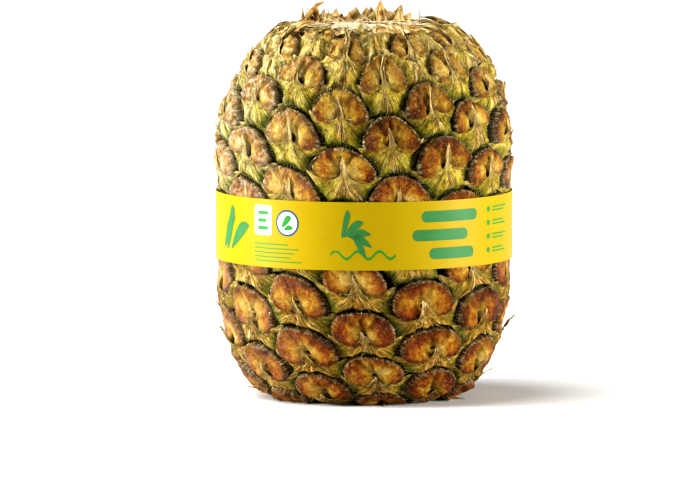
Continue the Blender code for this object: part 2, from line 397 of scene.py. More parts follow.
@dataclass
class EyeLattice:
    """Wraps the regular spiral of eyes round the barrel, crowded and swayed as it grew."""

    barrel: Barrel = field(default_factory=Barrel)
    first_pitch: float = 16.7
    growth: float = 0.065
    lowest: int = -7
    highest: int = 119
    first_turn: float = math.radians(-129.6)
    lean: float = math.radians(-5.1)
    crowding: tuple[float, float] = (-0.04, -0.32)
    crowded_side: float = math.radians(22.6)
    sway: float = 15.0
    sway_side: float = math.radians(6.6)
    drift: float = 1.5
    drift_size: float = 17.0
    sole: float = 1.5
    shoulder: float = 4.2
    shoulder_levels: tuple[float, float] = (112.0, 150.0)
    shoulder_radius: float = 55.0
    calm_slope: float = 0.88
    calm_relief: float = 0.35
    press_radius: float = 60.75
    press_knee: float = 0.7
    press_reach: float = 6.0
    press_release: float = 0.3

    def __post_init__(self) -> None:
        """Reads from the frame where the band presses on the eyes."""
        low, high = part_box("band")
        self.band = (low[2] / MM, high[2] / MM)

    def wrap(self, points: Array) -> Array:
        """Places lattice points on the fruit.

        Args:
            points: Columns round, fifteenths of a pitch up and millimetres out, one row each.

        Returns:
            Points in millimetres.
        """
        column, climb, relief = points.T
        arc = self.first_pitch / self.growth * (np.exp(self.growth * climb / COLUMNS) - 1)
        share = self.barrel.place(arc)[1] / (self.barrel.height / 2)
        turn = self.first_turn + column * math.tau / COLUMNS + self.lean * climb / COLUMNS
        crowding = self.crowding[0] + self.crowding[1] * share
        turn = turn + crowding * np.sin(turn - self.crowded_side)
        skin = self.barrel.skin_radius
        spot = np.stack([skin * np.sin(turn), skin * np.cos(turn), arc], axis=1)
        turn = turn + self.drift / skin * smooth_noise(spot, self.drift_size, 71)
        arc = arc + self.drift * smooth_noise(spot, self.drift_size, 72) * smooth_step(0.0, 12.0, arc)
        arc = arc + self.sway * np.sin(turn - self.sway_side) ** 2 * np.maximum(0.0, 1 - share ** 2)
        radius, level, out_r, out_z = self.barrel.place(arc)
        level = level + self.barrel.height / 2
        relief = self._pressed(relief * self._calmed(np.abs(out_z)), level)
        radius = radius + relief * out_r
        lift = self.sole * np.maximum(0.0, 1 - level / (3 * self.sole))
        level = np.maximum(level + lift + relief * out_z, 0.02)
        leftward = np.maximum(0.0, -np.sin(turn))
        rise = smooth_step(*self.shoulder_levels, level)
        radius = radius - self.shoulder * leftward ** 2 * rise * radius / self.shoulder_radius
        return np.stack([radius * np.sin(turn), -radius * np.cos(turn), level], axis=1)

    def clear_of_band(self, placed: Array) -> Array:
        """Gives 0 under the paper band and at the ground, and 1 away from both."""
        near = np.maximum(self.band[0] - placed[:, 2], placed[:, 2] - self.band[1])
        return smooth_step(0.0, 3.0, near) * smooth_step(0.5, 4.0, placed[:, 2])

    def _calmed(self, slope: Array) -> Array:
        """Flattens the eyes that the flat top and sole have drawn in."""
        return 1 - (1 - self.calm_relief) * np.maximum(0.0, slope - self.calm_slope) / (1 - self.calm_slope)

    def _pressed(self, relief: Array, level: Array) -> Array:
        """Squeezes the relief under the band, where it keeps its order but loses its height.

        Args:
            relief: Heights over the skin.
            level: Heights over the ground.

        Returns:
            The squeezed relief.
        """
        middle, half = sum(self.band) / 2, (self.band[1] - self.band[0]) / 2
        beyond = np.maximum(0.0, np.abs(level - middle) - half - self.press_reach)
        room = self.press_radius - self.barrel.skin_radius + self.press_release * beyond
        knee = room - self.press_knee
        over = np.maximum(0.0, relief - knee)
        return np.where(relief > knee, knee + self.press_knee * (1 - np.exp(-over / self.press_knee)), relief)


class GrowthTree:
    """Geometry Nodes that set small pieces out by a rule and join them under one finish."""

    NAME: str
    INPUTS: tuple[tuple[str, str], ...]

    def __init__(self) -> None:
        """Makes the named inputs and lays the nodes out up to the joined mesh."""
        self.tree = bpy.data.node_groups.new(self.NAME, "GeometryNodeTree")
        self.sockets: dict[str, str] = {}
        for name, kind in (("Geometry", "Geometry"), *self.INPUTS, ("Material", "Material")):
            item = self.tree.interface.new_socket(name=name, in_out="INPUT", socket_type="NodeSocket" + kind)
            self.sockets[name] = item.identifier
        self.tree.interface.new_socket(name="Geometry", in_out="OUTPUT", socket_type="NodeSocketGeometry")
        node = partial(add_node, self.tree)
        given = node("NodeGroupInput").node.outputs
        real = node("GeometryNodeRealizeInstances", (self.placed(node, given),))
        dressed = node("GeometryNodeSetMaterial", {"Geometry": real, "Material": given["Material"]})
        node("NodeGroupOutput", (dressed,))

    def placed(self, node: Adder, given: Any) -> NodeSocket:
        """Sets the pieces out, in each kind of tree's own way."""
        raise NotImplementedError

    def run(self, name: str, values: dict[str, Any],
            base: Object | None = None) -> Object:
        """Runs the tree and keeps its result as a plain mesh.

        Args:
            name: The result's name.
            values: Input name to value.
            base: The object whose mesh goes in, or none for an empty one.

        Returns:
            The object with the result as its mesh and no modifier.
        """
        item = base or make_object(name, np.zeros((0, 3)), ())
        modifier = item.modifiers.new("nodes", "NODES")
        modifier.node_group = self.tree
        for key, value in values.items():
            modifier[self.sockets[key]] = value
        bpy.context.view_layer.update()
        graph = bpy.context.evaluated_depsgraph_get()
        mesh = bpy.data.meshes.new_from_object(item.evaluated_get(graph), depsgraph=graph)
        item.modifiers.remove(modifier)
        old = item.data
        item.data = mesh
        bpy.data.meshes.remove(old)
        item.name = mesh.name = name
        return item


class EyeSpiral(GrowthTree):
    """Sets patches of single eyes along the spiral, in lattice units."""

    NAME = "eyes_along_spiral"
    INPUTS = (("Patches", "Collection"), ("Eyes", "Int"), ("Start", "Vector"), ("Step", "Vector"),
              ("Upper from", "Int"), ("Crown from", "Int"), ("Last lower kind", "Int"),
              ("First upper kind", "Int"), ("Last upper kind", "Int"), ("First crown kind", "Int"),
              ("Last kind", "Int"), ("Seed", "Int"))
    SEED = 7
    UPPER_FROM = 56
    CROWN_FROM = 106

    def __init__(self, lattice: EyeLattice) -> None:
        """Builds the tree for one lattice."""
        super().__init__()
        self.lattice = lattice

    def placed(self, node: Adder, given: Any) -> NodeSocket:
        """Sets patches on a line of eyes, each picked from its kind and marked with its own number.

        Args:
            node: add_node for this tree.
            given: The tree's inputs.

        Returns:
            The eyes in place.
        """
        index = node("GeometryNodeInputIndex")
        line = node("GeometryNodeMeshLine", {
            "Count": given["Eyes"], "Start Location": given["Start"], "Offset": given["Step"]}, mode="OFFSET")
        lower, upper, pick = (
            node("FunctionNodeRandomValue", {4: first, 5: last, 7: index, 8: given["Seed"]}, data_type="INT")
            for first, last in ((0, given["Last lower kind"]),
                                (given["First upper kind"], given["Last upper kind"]),
                                (given["First crown kind"], given["Last kind"])))
        for kind, limit in ((upper, given["Crown from"]), (lower, given["Upper from"])):
            below = node("FunctionNodeCompare", {2: index, 3: limit}, data_type="INT", operation="LESS_THAN")
            pick = node("GeometryNodeSwitch", (below, pick, kind), input_type="INT")
        character = node("FunctionNodeRandomValue", {2: 0.0, 3: 1.0, 7: index, 8: given["Seed"]},
                         data_type="FLOAT")
        marked = node("GeometryNodeStoreNamedAttribute", {
            "Geometry": line, "Name": "eye", "Value": character}, data_type="FLOAT", domain="POINT")
        patches = node("GeometryNodeCollectionInfo", {
            "Collection": given["Patches"], "Separate Children": True, "Reset Children": True})
        return node("GeometryNodeInstanceOnPoints", {
            "Points": marked, "Instance": patches, "Pick Instance": True, "Instance Index": pick})

    def lay(self, name: str, patches: list[Object], material: Material | None,
            eyes: tuple[int, int] | None = None) -> Object:
        """Repeats the patches along the spiral as one plain mesh in lattice units.

        Args:
            name: The new object's name.
            patches: The patches of all kinds, from the lowest eyes' to the crown's.
            material: The finish of the result, or none for guide lines.
            eyes: First and last eye, or none for all.

        Returns:
            The object, not yet wrapped on the fruit.
        """
        group = bpy.data.collections.new(name + "_patches")
        for number, patch in enumerate(patches):
            patch.name = f"{name}_{number:02d}"
            bpy.context.scene.collection.objects.unlink(patch)
            group.objects.link(patch)
        lattice = self.lattice
        first, last = eyes or (lattice.lowest, lattice.highest)
        lower, upper, crown = (STYLES[kind].kinds for kind in EyeKind)
        values = {"Patches": group, "Eyes": last - first + 1, "Start": (2.0 * first, float(first), 0.0),
                  "Step": (2.0, 1.0, 0.0), "Upper from": self.UPPER_FROM - first,
                  "Crown from": self.CROWN_FROM - first,
                  "Last lower kind": lower - 1, "First upper kind": lower,
                  "Last upper kind": lower + upper - 1, "First crown kind": lower + upper,
                  "Last kind": lower + upper + crown - 1, "Seed": self.SEED, "Material": material}
        item = self.run(name, values)
        for patch in patches:
            bpy.data.objects.remove(patch, do_unlink=True)
        bpy.data.collections.remove(group)
        return item


@dataclass
class EyePlan:
    """One eye's own shape: its style and the unevenness that it grew with."""

    kind: EyeKind
    seed: int
    side_rays: int = 13

    def __post_init__(self) -> None:
        """Draws the eye's own proportions."""
        draw = random.Random(100 + self.seed)
        self.style = STYLES[self.kind]
        self.tilt = draw.uniform(-0.06, 0.06)
        self.tip_drift = draw.uniform(-0.08, 0.08)
        self.tip_length = draw.uniform(0.75, 1.15)
        self.tip_rise = draw.uniform(4.0, 6.4)
        self.fullness = draw.uniform(0.85, 1.15)
        self.draw = draw

    def dome_share(self, across: Array, up: Array) -> Array:
        """Says how far a place is from the dome's middle, with 1 at its rim.

        Args:
            across: Places in columns.
            up: Places in pitches.

        Returns:
            The share of the way to the rim.
        """
        style = self.style
        x = np.abs(across) / style.dome_width
        y = np.abs(up - style.dome_middle) / style.dome_height
        return (x ** style.dome_power + y ** style.dome_power) ** (1 / style.dome_power)

    def lip_level(self, across: Array) -> Array:
        """Gives the height of the bract's upper edge over its width.

        Args:
            across: Places in columns.

        Returns:
            Levels in pitches.
        """
        style = self.style
        places = (0.0, style.spine_foot[0], style.lip[0], style.horn[0])
        levels = (style.spine_foot[1], style.spine_foot[1] - 0.03, style.lip[1], style.horn[1])
        return np.interp(np.abs(across), places, levels)

    def reach(self, turn: float, side: int) -> float:
        """Gives how far the bract runs before it meets a neighbour's dome.

        Args:
            turn: Direction from the bract's heart, up from level, in radians.
            side: 1 for the right half and -1 for the left.

        Returns:
            The length of the run in the plan's units.
        """
        runs = np.linspace(0.05, 0.62, 115)
        across = side * math.cos(turn) * runs
        up = self.style.heart + math.sin(turn) * runs
        near = np.min([self.dome_share(across - step, up - climb / COLUMNS)
                       for step, climb in AROUND], axis=0)
        clearance = 1.075 - 0.12 * max(0.0, math.sin(turn)) / 0.3
        met = np.flatnonzero(near < clearance)
        return float(runs[met[0]]) if len(met) else float(runs[-1])

    def edge_half(self, side: int) -> list[tuple[float, float, float, float]]:
        """Gives half of the bract's edge from the spine's tip down to its lowest point.

        Args:
            side: 1 for the right half and -1 for the left.

        Returns:
            Across, up, relief and share of edge hair at each place.
        """
        style = self.style
        foot, lip, horn = style.spine_foot, style.lip, style.horn
        tip = style.spine_tip * self.tip_length
        half = [
            (0.0, tip, self.tip_rise, 0.0),
            (0.034, foot[1] + 0.6 * (tip - foot[1]), 4.1, 0.0),
            (foot[0] * 0.85, foot[1] + 0.2 * (tip - foot[1]), 3.5, 0.0),
            (foot[0] + 0.02, foot[1] - 0.02, 2.7, 0.0),
            ((foot[0] + lip[0]) / 2, lip[1] + 0.012, 2.1, 0.0),
            (lip[0], lip[1], 1.7, 0.0),
            ((lip[0] + horn[0]) / 2, (lip[1] + horn[1]) / 2 - 0.010, 1.2, 0.0),
            (horn[0] - 0.1, horn[1] - 0.02, 0.5, 0.3),
            (horn[0], horn[1], -0.6, 0.3),
        ]
        start = math.atan2(horn[1] - style.heart, horn[0])
        for number in range(self.side_rays):
            share = (number + 1) / self.side_rays
            turn = start + (-math.pi / 2 - start) * share
            run = self.reach(turn, side)
            foot_share = math.exp(-((math.degrees(turn) + 44) / 12) ** 2)
            level = -0.75 - 0.9 * foot_share + 0.35 * math.cos(turn) ** 4
            half.append((math.cos(turn) * run, style.heart + math.sin(turn) * run, level, 1.0))
        return half

    def outline(self) -> tuple[Array, Array]:
        """Gives the bract's star-shaped edge.

        Returns:
            Rows of across, up and relief, and the share of edge hair at each.
        """
        right = self.edge_half(1)
        left = [(-across, up, relief, hair) for across, up, relief, hair in self.edge_half(-1)[1:-1]]
        points = np.array(right + left[::-1])
        jitter = np.array([[self.draw.uniform(-1, 1) for _ in range(3)] for _ in points])
        points[:, :3] += jitter * (0.009, 0.009, 0.16)
        foot = self.style.spine_foot[1]
        tip = self.style.spine_tip * self.tip_length
        points[:, 0] += self.tip_drift * smooth_step(foot, max(tip, foot + 0.05), points[:, 1])
        points[:, 1] += self.tilt * points[:, 0]
        return self._rounded(points[:, :3]), self._rounded(points[:, 3:])[:, 0]

    @staticmethod
    def _rounded(points: Array) -> Array:
        """Doubles a closed line's points along a smooth curve through them.

        Args:
            points: One row for each point.

        Returns:
            Twice as many rows.
        """
        before, after, next_after = (np.roll(points, shift, axis=0) for shift in (1, -1, -2))
        middles = (9 * (points + after) - before - next_after) / 16
        return np.stack([points, middles], axis=1).reshape(-1, points.shape[1])


def eye_plans() -> list[EyePlan]:
    """Gives the plans of all kinds of eye, the lower ones first.

    Returns:
        One plan for each kind.
    """
    return [EyePlan(kind, number + 10 * order)
            for order, kind in enumerate(EyeKind)
            for number in range(STYLES[kind].kinds)]


@dataclass
class Rind:
    """The fruit's living skin: a closed barrel of puffy eyes parted by grooves."""

    spiral: EyeSpiral
    rings: int = 15
    ring_ease: float = 0.8
    groove: float = -2.6
    column_mm: float = 22.0
    pitch_mm: float = 23.0
    stem_radius: float = 13.0
    scar_radius: float = 15.5
    cleft: float = 1.3
    navel: float = 1.1
    crease: float = 0.8
    pleat: float = 0.45
    pleats_round: int = 15
    lumps: tuple[tuple[float, float], ...] = ((0.9, 5.0), (0.6, 2.3))
    wrinkles: tuple[tuple[float, float], ...] = ((0.22, 3.0), (0.1, 1.2))

    def corners(self) -> Array:
        """Gives the cell's six corners, each the middle of three neighbouring eyes."""
        steps = np.array([(across, up / COLUMNS) for across, up in AROUND])
        return (steps + np.roll(steps, -1, axis=0)) / 3

    def cell(self) -> tuple[Array, Array, list[tuple[int, int, int]]]:
        """Cuts the six-sided cell into triangles.

        Returns:
            Places across and up, the share of the way to the edge, and the faces.
        """
        corners = self.corners()
        places, shares, faces, starts = [np.zeros(2)], [0.0], [], [0]
        for ring in range(1, self.rings + 1):
            starts.append(len(places))
            share = (ring / self.rings) ** self.ring_ease
            for side, part in itertools.product(range(6), range(ring)):
                weight = part / ring
                places.append((corners[side] * (1 - weight) + corners[(side + 1) % 6] * weight) * share)
                shares.append(share)
        for ring in range(1, self.rings + 1):
            inner, outer = starts[ring - 1], starts[ring]
            inner_size, outer_size = max(1, 6 * (ring - 1)), 6 * ring
            for side, part in itertools.product(range(6), range(ring)):
                here = outer + side * ring + part
                there = outer + (side * ring + part + 1) % outer_size
                below = inner + (side * (ring - 1) + part) % inner_size
                faces.append((below, here, there))
                if part < ring - 1:
                    faces.append((below, there, inner + (side * (ring - 1) + part + 1) % inner_size))
        return np.array(places), np.array(shares), faces

    def relief(self, plan: EyePlan, across: Array, up: Array, share: Array) -> dict[str, Array]:
        """Works out an eye's relief and the values that its skin is coloured by.

        Args:
            plan: The eye's own shape.
            across: Places in columns.
            up: Places in pitches.
            share: Share of the way to the cell's edge.

        Returns:
            Relief in millimetres, share of the way to the dome's rim, angle round it, and painted shade for
            the cleft, navel, creases and the line under the bract's lip.
        """
        style = plan.style
        flat = np.stack([
            across * self.column_mm, up * self.pitch_mm, np.full(len(up), 3.0 * plan.seed)], axis=1)
        turn = np.arctan2(up - style.dome_middle, across)
        rim = plan.dome_share(across, up) + 0.03 * smooth_noise(flat, 5.0, plan.seed)
        rim = rim + 0.018 * np.sin(turn * 33 + 2 * smooth_noise(flat, 3.0, plan.seed + 2)) * (rim > 0.7)
        puff = style.puff * plan.fullness * (1 - np.abs((rim - 0.60) / 0.60) ** 2.2)
        bent = across - plan.tip_drift * up
        cleft = np.exp(-(bent / 0.028) ** 2) * smooth_step(0.35, 0.05, rim - 0.5)
        navel = np.exp(-((bent / 0.11) ** 2 + ((up - style.spine_foot[1] - 0.03) / 0.06) ** 2))
        creases = np.zeros(len(up))
        for way in (58 + 60 * plan.tilt, 122 + 60 * plan.tilt):
            away = np.abs(np.angle(np.exp(1j * (turn - math.radians(way)))))
            creases += np.exp(-(away * np.maximum(rim, 0.1) / 0.09) ** 2) * smooth_step(0.1, 0.4, rim)
        pleat_turn = turn * self.pleats_round + 2.2 * smooth_noise(flat, 4.0, plan.seed + 3)
        pleats = np.abs(np.sin(pleat_turn)) * smooth_step(0.6, 0.92, rim) * (rim < 1.1)
        lumps = sum(depth * smooth_noise(flat, size, plan.seed + step)
                    for (depth, size), step in zip(self.lumps, (5, 7)))
        dome = puff - self.cleft * cleft - self.navel * navel - self.crease * creases
        dome = dome + self.pleat * (pleats - 0.5) + lumps
        wall = smooth_step(1.05, 0.94, rim)
        hollow = smooth_step(0.99, 0.74, share)
        over = up - plan.lip_level(across)
        upper = smooth_step(-0.09, -0.02, over)
        under = 0.2 + 0.15 * lumps
        height = (1 - upper) * under * hollow + upper * (dome * wall + self.groove * (1 - wall))
        height = height + self.groove * (1 - upper) * (1 - hollow)
        height = self.groove + (height - self.groove) * smooth_step(1.0, 0.94, share)
        # Painted shade: the cleft, navel and creases darken, and a painted shadow line lies where the dome
        # runs under the bract's lip.
        over_lip = np.exp(-((over - 0.01) / 0.035) ** 2)
        over_lip *= smooth_step(0.75, 0.3, np.abs(across))
        crease = np.clip(cleft + 0.9 * navel + 0.6 * creases + 0.8 * over_lip, 0.0, 1.0) * (rim < 1.0)
        return {"lift": height, "rim": rim, "fan": turn / math.pi, "crease": crease}

    def build(self, material: Material) -> None:
        """Makes the rind, closed at the stem and under the crown's scar.

        Args:
            material: Its finish.
        """
        places, shares, faces = self.cell()
        patches = []
        for plan in eye_plans():
            values = self.relief(plan, places[:, 0], places[:, 1], shares)
            points = np.stack([places[:, 0], places[:, 1] * COLUMNS, values["lift"]], axis=1)
            patches.append(make_object("eye", points, faces, values=values, unit=1.0))
        item = self.spiral.lay("rind", patches, material)
        points = read_points(item.data)
        vigour = 0.85 + 0.3 * read_value(item.data, "eye")
        points[:, 2] = self.groove + (points[:, 2] - self.groove) * vigour
        placed = self.spiral.lattice.wrap(points)
        away = placed * (1.0, 1.0, 0.0)
        away /= np.maximum(np.linalg.norm(away, axis=1), 1e-6)[:, None]
        roughness = sum(depth * smooth_noise(placed, size, seed)
                        for (depth, size), seed in zip(self.wrinkles, (21, 22)))
        roughness = roughness * (1 + 4.0 * smooth_step(120.0, 140.0, placed[:, 2]))
        free = self.spiral.lattice.clear_of_band(placed)
        write_points(item.data, (placed + away * (roughness * free)[:, None]) * MM)
        write_values(item.data, self.marks(item.data, placed))
        self._close(item.data)
        item.data.shade_smooth()
        finish_piece(item, "rind", "fruit")

    @staticmethod
    def marks(mesh: Mesh, placed: Array) -> dict[str, Array]:
        """Says where the skin is sallow, living, aged by the torn crown, bleached and lit by painted side
        light, and where painted shade darkens it by depth.

        Args:
            mesh: The rind with its eyes' values.
            placed: Its points in millimetres.

        Returns:
            Attribute name to one number for each point.
        """
        level, lift = placed[:, 2], read_value(mesh, "lift")
        living = 1 - 0.7 * smooth_step(130.0, 150.0, level)
        sallow = 0.6 * read_value(mesh, "eye") + smooth_step(70.0, 135.0, level) - 0.35
        # The side paleness is partly bleaching and partly painted side light; the last value is painted
        # shade, darker the deeper the relief.
        return {"sallow": np.clip(sallow, 0, 1), "living": living,
                "aged": smooth_step(122.0, 152.0, level), "faded": bleaching_and_side_light(placed),
                "deep": np.clip((0.5 - lift) / 2.4, 0.0, 1.0) * living}

    def _close(self, mesh: Mesh) -> None:
        """Welds the cells and closes both ends by level discs.

        Args:
            mesh: The rind's cells, wrapped.
        """
        bm = bmesh.new()
        bm.from_mesh(mesh)
        bmesh.ops.remove_doubles(bm, verts=bm.verts, dist=0.03 * MM)
        top = self.spiral.lattice.barrel.height
        for above, rings in ((False, ((self.stem_radius + 0.8, 1.5), (self.stem_radius, 0.3))),
                             (True, ((self.scar_radius, top + 0.4), (self.scar_radius - 2, top + 0.6)))):
            loop = [edge for edge in bm.edges
                    if edge.is_boundary and (edge.verts[0].co.z > top / 2 * MM) == above]
            for radius, level in rings:
                loop = self._draw_in(bm, loop, radius * MM, level * MM)
            centre = bm.verts.new((0.0, 0.0, rings[-1][1] * MM))
            for edge in loop:
                bm.faces.new((edge.verts[0], edge.verts[1], centre))
        bmesh.ops.recalc_face_normals(bm, faces=bm.faces)
        bm.to_mesh(mesh)
        bm.free()

    @staticmethod
    def _draw_in(bm: bmesh.types.BMesh, loop: list[Any], radius: float, level: float) -> list[Any]:
        """Extrudes a loop of edges to a level circle and gives the new loop.

        Args:
            bm: The mesh in work.
            loop: The open edges.
            radius: The circle's radius in metres.
            level: Its height in metres.

        Returns:
            The new open edges.
        """
        made = bmesh.ops.extrude_edge_only(bm, edges=loop)["geom"]
        for vertex in (part for part in made if isinstance(part, bmesh.types.BMVert)):
            turn = math.atan2(vertex.co.y, vertex.co.x)
            vertex.co = Vector((radius * math.cos(turn), radius * math.sin(turn), level))
        return [part for part in made if isinstance(part, bmesh.types.BMEdge) and part.is_boundary]


def bleaching_and_side_light(placed: Array) -> Array:
    """Says how pale each place is, partly bleached by light and partly painted side light: most on the
    fruit's left, some on its right.
    """
    sides = smooth_step(10.0, 57.0, -placed[:, 0]) + 0.1 * smooth_step(15.0, 58.0, placed[:, 0])
    return sides * (0.35 + 0.65 * smooth_step(60.0, 110.0, placed[:, 2]))


@dataclass
class Bracts:
    """The dry star-shaped bract over each eye's lower half, with its spine over the dome."""

    spiral: EyeSpiral
    ring_shares: tuple[float, ...] = (0.12, 0.25, 0.38, 0.51, 0.64, 0.76, 0.87, 0.95, 1.0)
    ridge: float = 2.3
    thickness: float = 0.45
    arch: float = 3.4
    ripple: float = 0.24
    trough: float = 0.55
    crumple: float = 0.45
    stretch_from: float = 88.0
    stretch: float = 0.5

    def patch(self, plan: EyePlan) -> Object:
        """Makes one bract as a thin closed shell round its heart.

        Args:
            plan: The eye's own shape.

        Returns:
            The patch in lattice units.
        """
        outline, _ = plan.outline()
        heart = np.array([0.0, plan.style.heart, self.ridge])
        count = len(outline)
        points, edge_share, fan = [heart], [0.0], [0.0]
        last_away = self.spread(plan, outline[:, :2])[0]
        for share in self.ring_shares:
            flat = heart[:2] + (outline[:, :2] - heart[:2]) * share
            level = heart[2] + (outline[:, 2] - heart[2]) * share ** self.arch
            away, run = self.spread(plan, flat)
            ripple = np.sin(away * 11 + plan.seed) + 0.7 * np.sin(away * 25 + 2 * plan.seed)
            level = level + self.ripple * ripple * (1.2 - share) * smooth_step(0.02, 0.3, run)
            trough = self.trough * np.exp(-((np.abs(away) - 0.95) / 0.3) ** 2)
            level = level - trough * share * (1 - share) * 4
            points.extend(np.column_stack([flat, level]))
            edge_share.extend([share] * count)
            fan.extend(away)
        faces = [(0, 1 + (spot + 1) % count, 1 + spot) for spot in range(count)]
        faces += ring_faces(1, len(self.ring_shares) - 1, count)
        under = len(points)
        points.extend(outline - (0.0, 0.0, self.thickness))
        points.append(heart - (0.0, 0.0, 1.1))
        edge_share.extend([1.0] * count + [0.0])
        fan.extend(list(last_away) + [0.0])
        rim = under - count
        for spot in range(count):
            after = (spot + 1) % count
            faces.append((rim + spot, rim + after, under + after, under + spot))
            faces.append((under + spot, under + after, under + count))
        points = np.array(points)
        values = {"edge": np.array(edge_share), "fan": np.array(fan) / math.pi,
                  "plan": points * (1.0, 1.0, 0.0)}
        return make_object("bract", points * LATTICE, faces, values=values, unit=1.0)

    @staticmethod
    def spread(plan: EyePlan, flat: Array) -> tuple[Array, Array]:
        """Gives the angle from straight down, and the distance, from the root of the spine."""
        across, down = flat[:, 0], plan.style.spine_foot[1] + 0.04 - flat[:, 1]
        return np.arctan2(across, np.abs(down) + 0.02), np.hypot(across, down)

    def drawn_up(self, points: Array, plan: Array) -> Array:
        """Lengthens the spines of the upper eyes towards the crown's scar.

        Args:
            points: The bracts in lattice units.
            plan: Each point's place in its own eye.

        Returns:
            The moved points.
        """
        climb = points[:, 1] - plan[:, 1] * COLUMNS
        share = smooth_step(self.stretch_from, 118.0, climb) * self.stretch
        rise = np.maximum(0.0, plan[:, 1] + 0.02)
        moved = points.copy()
        moved[:, 1] += share * rise * COLUMNS
        return moved

    def build(self, material: Material) -> None:
        """Makes the bracts, as one piece below the band's middle and one above it.

        Args:
            material: Their finish.
        """
        lattice = self.spiral.lattice
        split = self.spiral.UPPER_FROM
        groups = (("lower_bracts", (lattice.lowest, split - 1)), ("upper_bracts", (split, lattice.highest)))
        for name, eyes in groups:
            item = self.spiral.lay(name, [self.patch(plan) for plan in eye_plans()], material, eyes)
            points = self.drawn_up(read_points(item.data), read_value(item.data, "plan"))
            placed = lattice.wrap(points)
            free = lattice.clear_of_band(placed)
            level = placed[:, 2]
            dried = self.crumple + 0.35 * smooth_step(70.0, 30.0, level)
            crumple = free * (dried + 0.6 * smooth_step(122.0, 142.0, level))
            for axis in range(3):
                placed[:, axis] += crumple * (smooth_noise(placed, 3.4, 51 + axis)
                                              + 0.55 * smooth_noise(placed, 1.6, 61 + axis))
            write_points(item.data, placed * MM)
            write_values(item.data, self.marks(item.data, placed))
            face_outwards(item.data)
            finish_piece(item, "rind", "fruit")

    @staticmethod
    def marks(mesh: Mesh, placed: Array) -> dict[str, Array]:
        """Says where a bract is spine, lip or one of the flanks with painted shade, and how green, brown,
        aged, bleached and lit by painted side light it is.

        Args:
            mesh: The bracts with their own values.
            placed: Their points in millimetres.

        Returns:
            Attribute name to one number for each point.
        """
        level, climb, edge = placed[:, 2], read_value(mesh, "plan")[:, 1], read_value(mesh, "edge")
        spine = smooth_step(-0.03, 0.02, climb)
        aged = smooth_step(122.0, 150.0, level)
        return {"climb": climb, "spine": spine, "aged": aged, "faded": bleaching_and_side_light(placed),
                "lip": smooth_step(0.88, 0.97, edge) * smooth_step(-0.24, -0.16, climb),
                "flank": smooth_step(0.42, 1.0, edge) * smooth_step(-0.10, -0.22, climb) * (1 - 0.6 * aged),
                "green": (0.2 + 0.8 * smooth_step(30.0, 115.0, level)) * (1 - 0.2 * aged) * (1 - spine),
                "brown": smooth_step(95.0, 30.0, level)}


@dataclass(frozen=True)
class Hairs:
    """One kind of tooth or hair: spacing, length and width in millimetres, and how far each strays."""

    name: str
    spacing: float
    length: float
    width: float
    spread: float


class HairTree(GrowthTree):
    """Sets small teeth along guide lines, each pointing along its own lay."""

    NAME = "teeth_along_edges"
    INPUTS = (("Spacing", "Float"), ("Length", "Float"), ("Width", "Float"), ("Spread", "Float"),
              ("Seed", "Int"))
    SEED = 3

    def placed(self, node: Adder, given: Any) -> NodeSocket:
        """Sets thin cones at even steps along the lines, each a little astray.

        Args:
            node: add_node for this tree.
            given: The tree's inputs.

        Returns:
            The teeth in place.
        """
        curve = node("GeometryNodeMeshToCurve", (given["Geometry"],))
        even = node("GeometryNodeResampleCurve", {"Curve": curve, "Length": given["Spacing"]}, mode="LENGTH")
        tooth = node("GeometryNodeMeshCone", {
            "Vertices": 4, "Radius Top": 0.0, "Radius Bottom": given["Width"], "Depth": given["Length"]})
        lay = node("GeometryNodeInputNamedAttribute", ("lay",), data_type="FLOAT_VECTOR")
        index = node("GeometryNodeInputIndex")
        least = node("ShaderNodeMath", (given["Spread"], -1.0), operation="MULTIPLY")
        low = node("ShaderNodeCombineXYZ", (least, least, least))
        high = node("ShaderNodeCombineXYZ", (given["Spread"],) * 3)
        stray, size = (
            node("FunctionNodeRandomValue", {0: least, 1: most, 7: index, 8: given["Seed"]},
                 data_type="FLOAT_VECTOR")
            for least, most in ((low, high), ((0.6, 0.6, 0.45), (1.1, 1.1, 1.25))))
        way = node("ShaderNodeVectorMath", (lay, stray), operation="ADD")
        turn = node("FunctionNodeAlignRotationToVector", {"Vector": way}, axis="Z")
        return node("GeometryNodeInstanceOnPoints", {
            "Points": even, "Instance": tooth, "Rotation": turn, "Scale": size})

    def grow(self, guides: Object, kind: Hairs, material: Material) -> Object:
        """Turns guide lines into teeth, none of which reaches into the ground.

        Args:
            guides: The lines, with the lay at each point.
            kind: The teeth's sizes.
            material: Their finish.

        Returns:
            The teeth.
        """
        values = {"Spacing": kind.spacing * MM, "Length": kind.length * MM, "Width": kind.width * MM,
                  "Spread": kind.spread, "Seed": self.SEED, "Material": material}
        item = self.run(kind.name, values, base=guides)
        points = read_points(item.data)
        points[:, 2] = np.maximum(points[:, 2], 0.0)
        write_points(item.data, points)
        item.data.shade_flat()
        return item


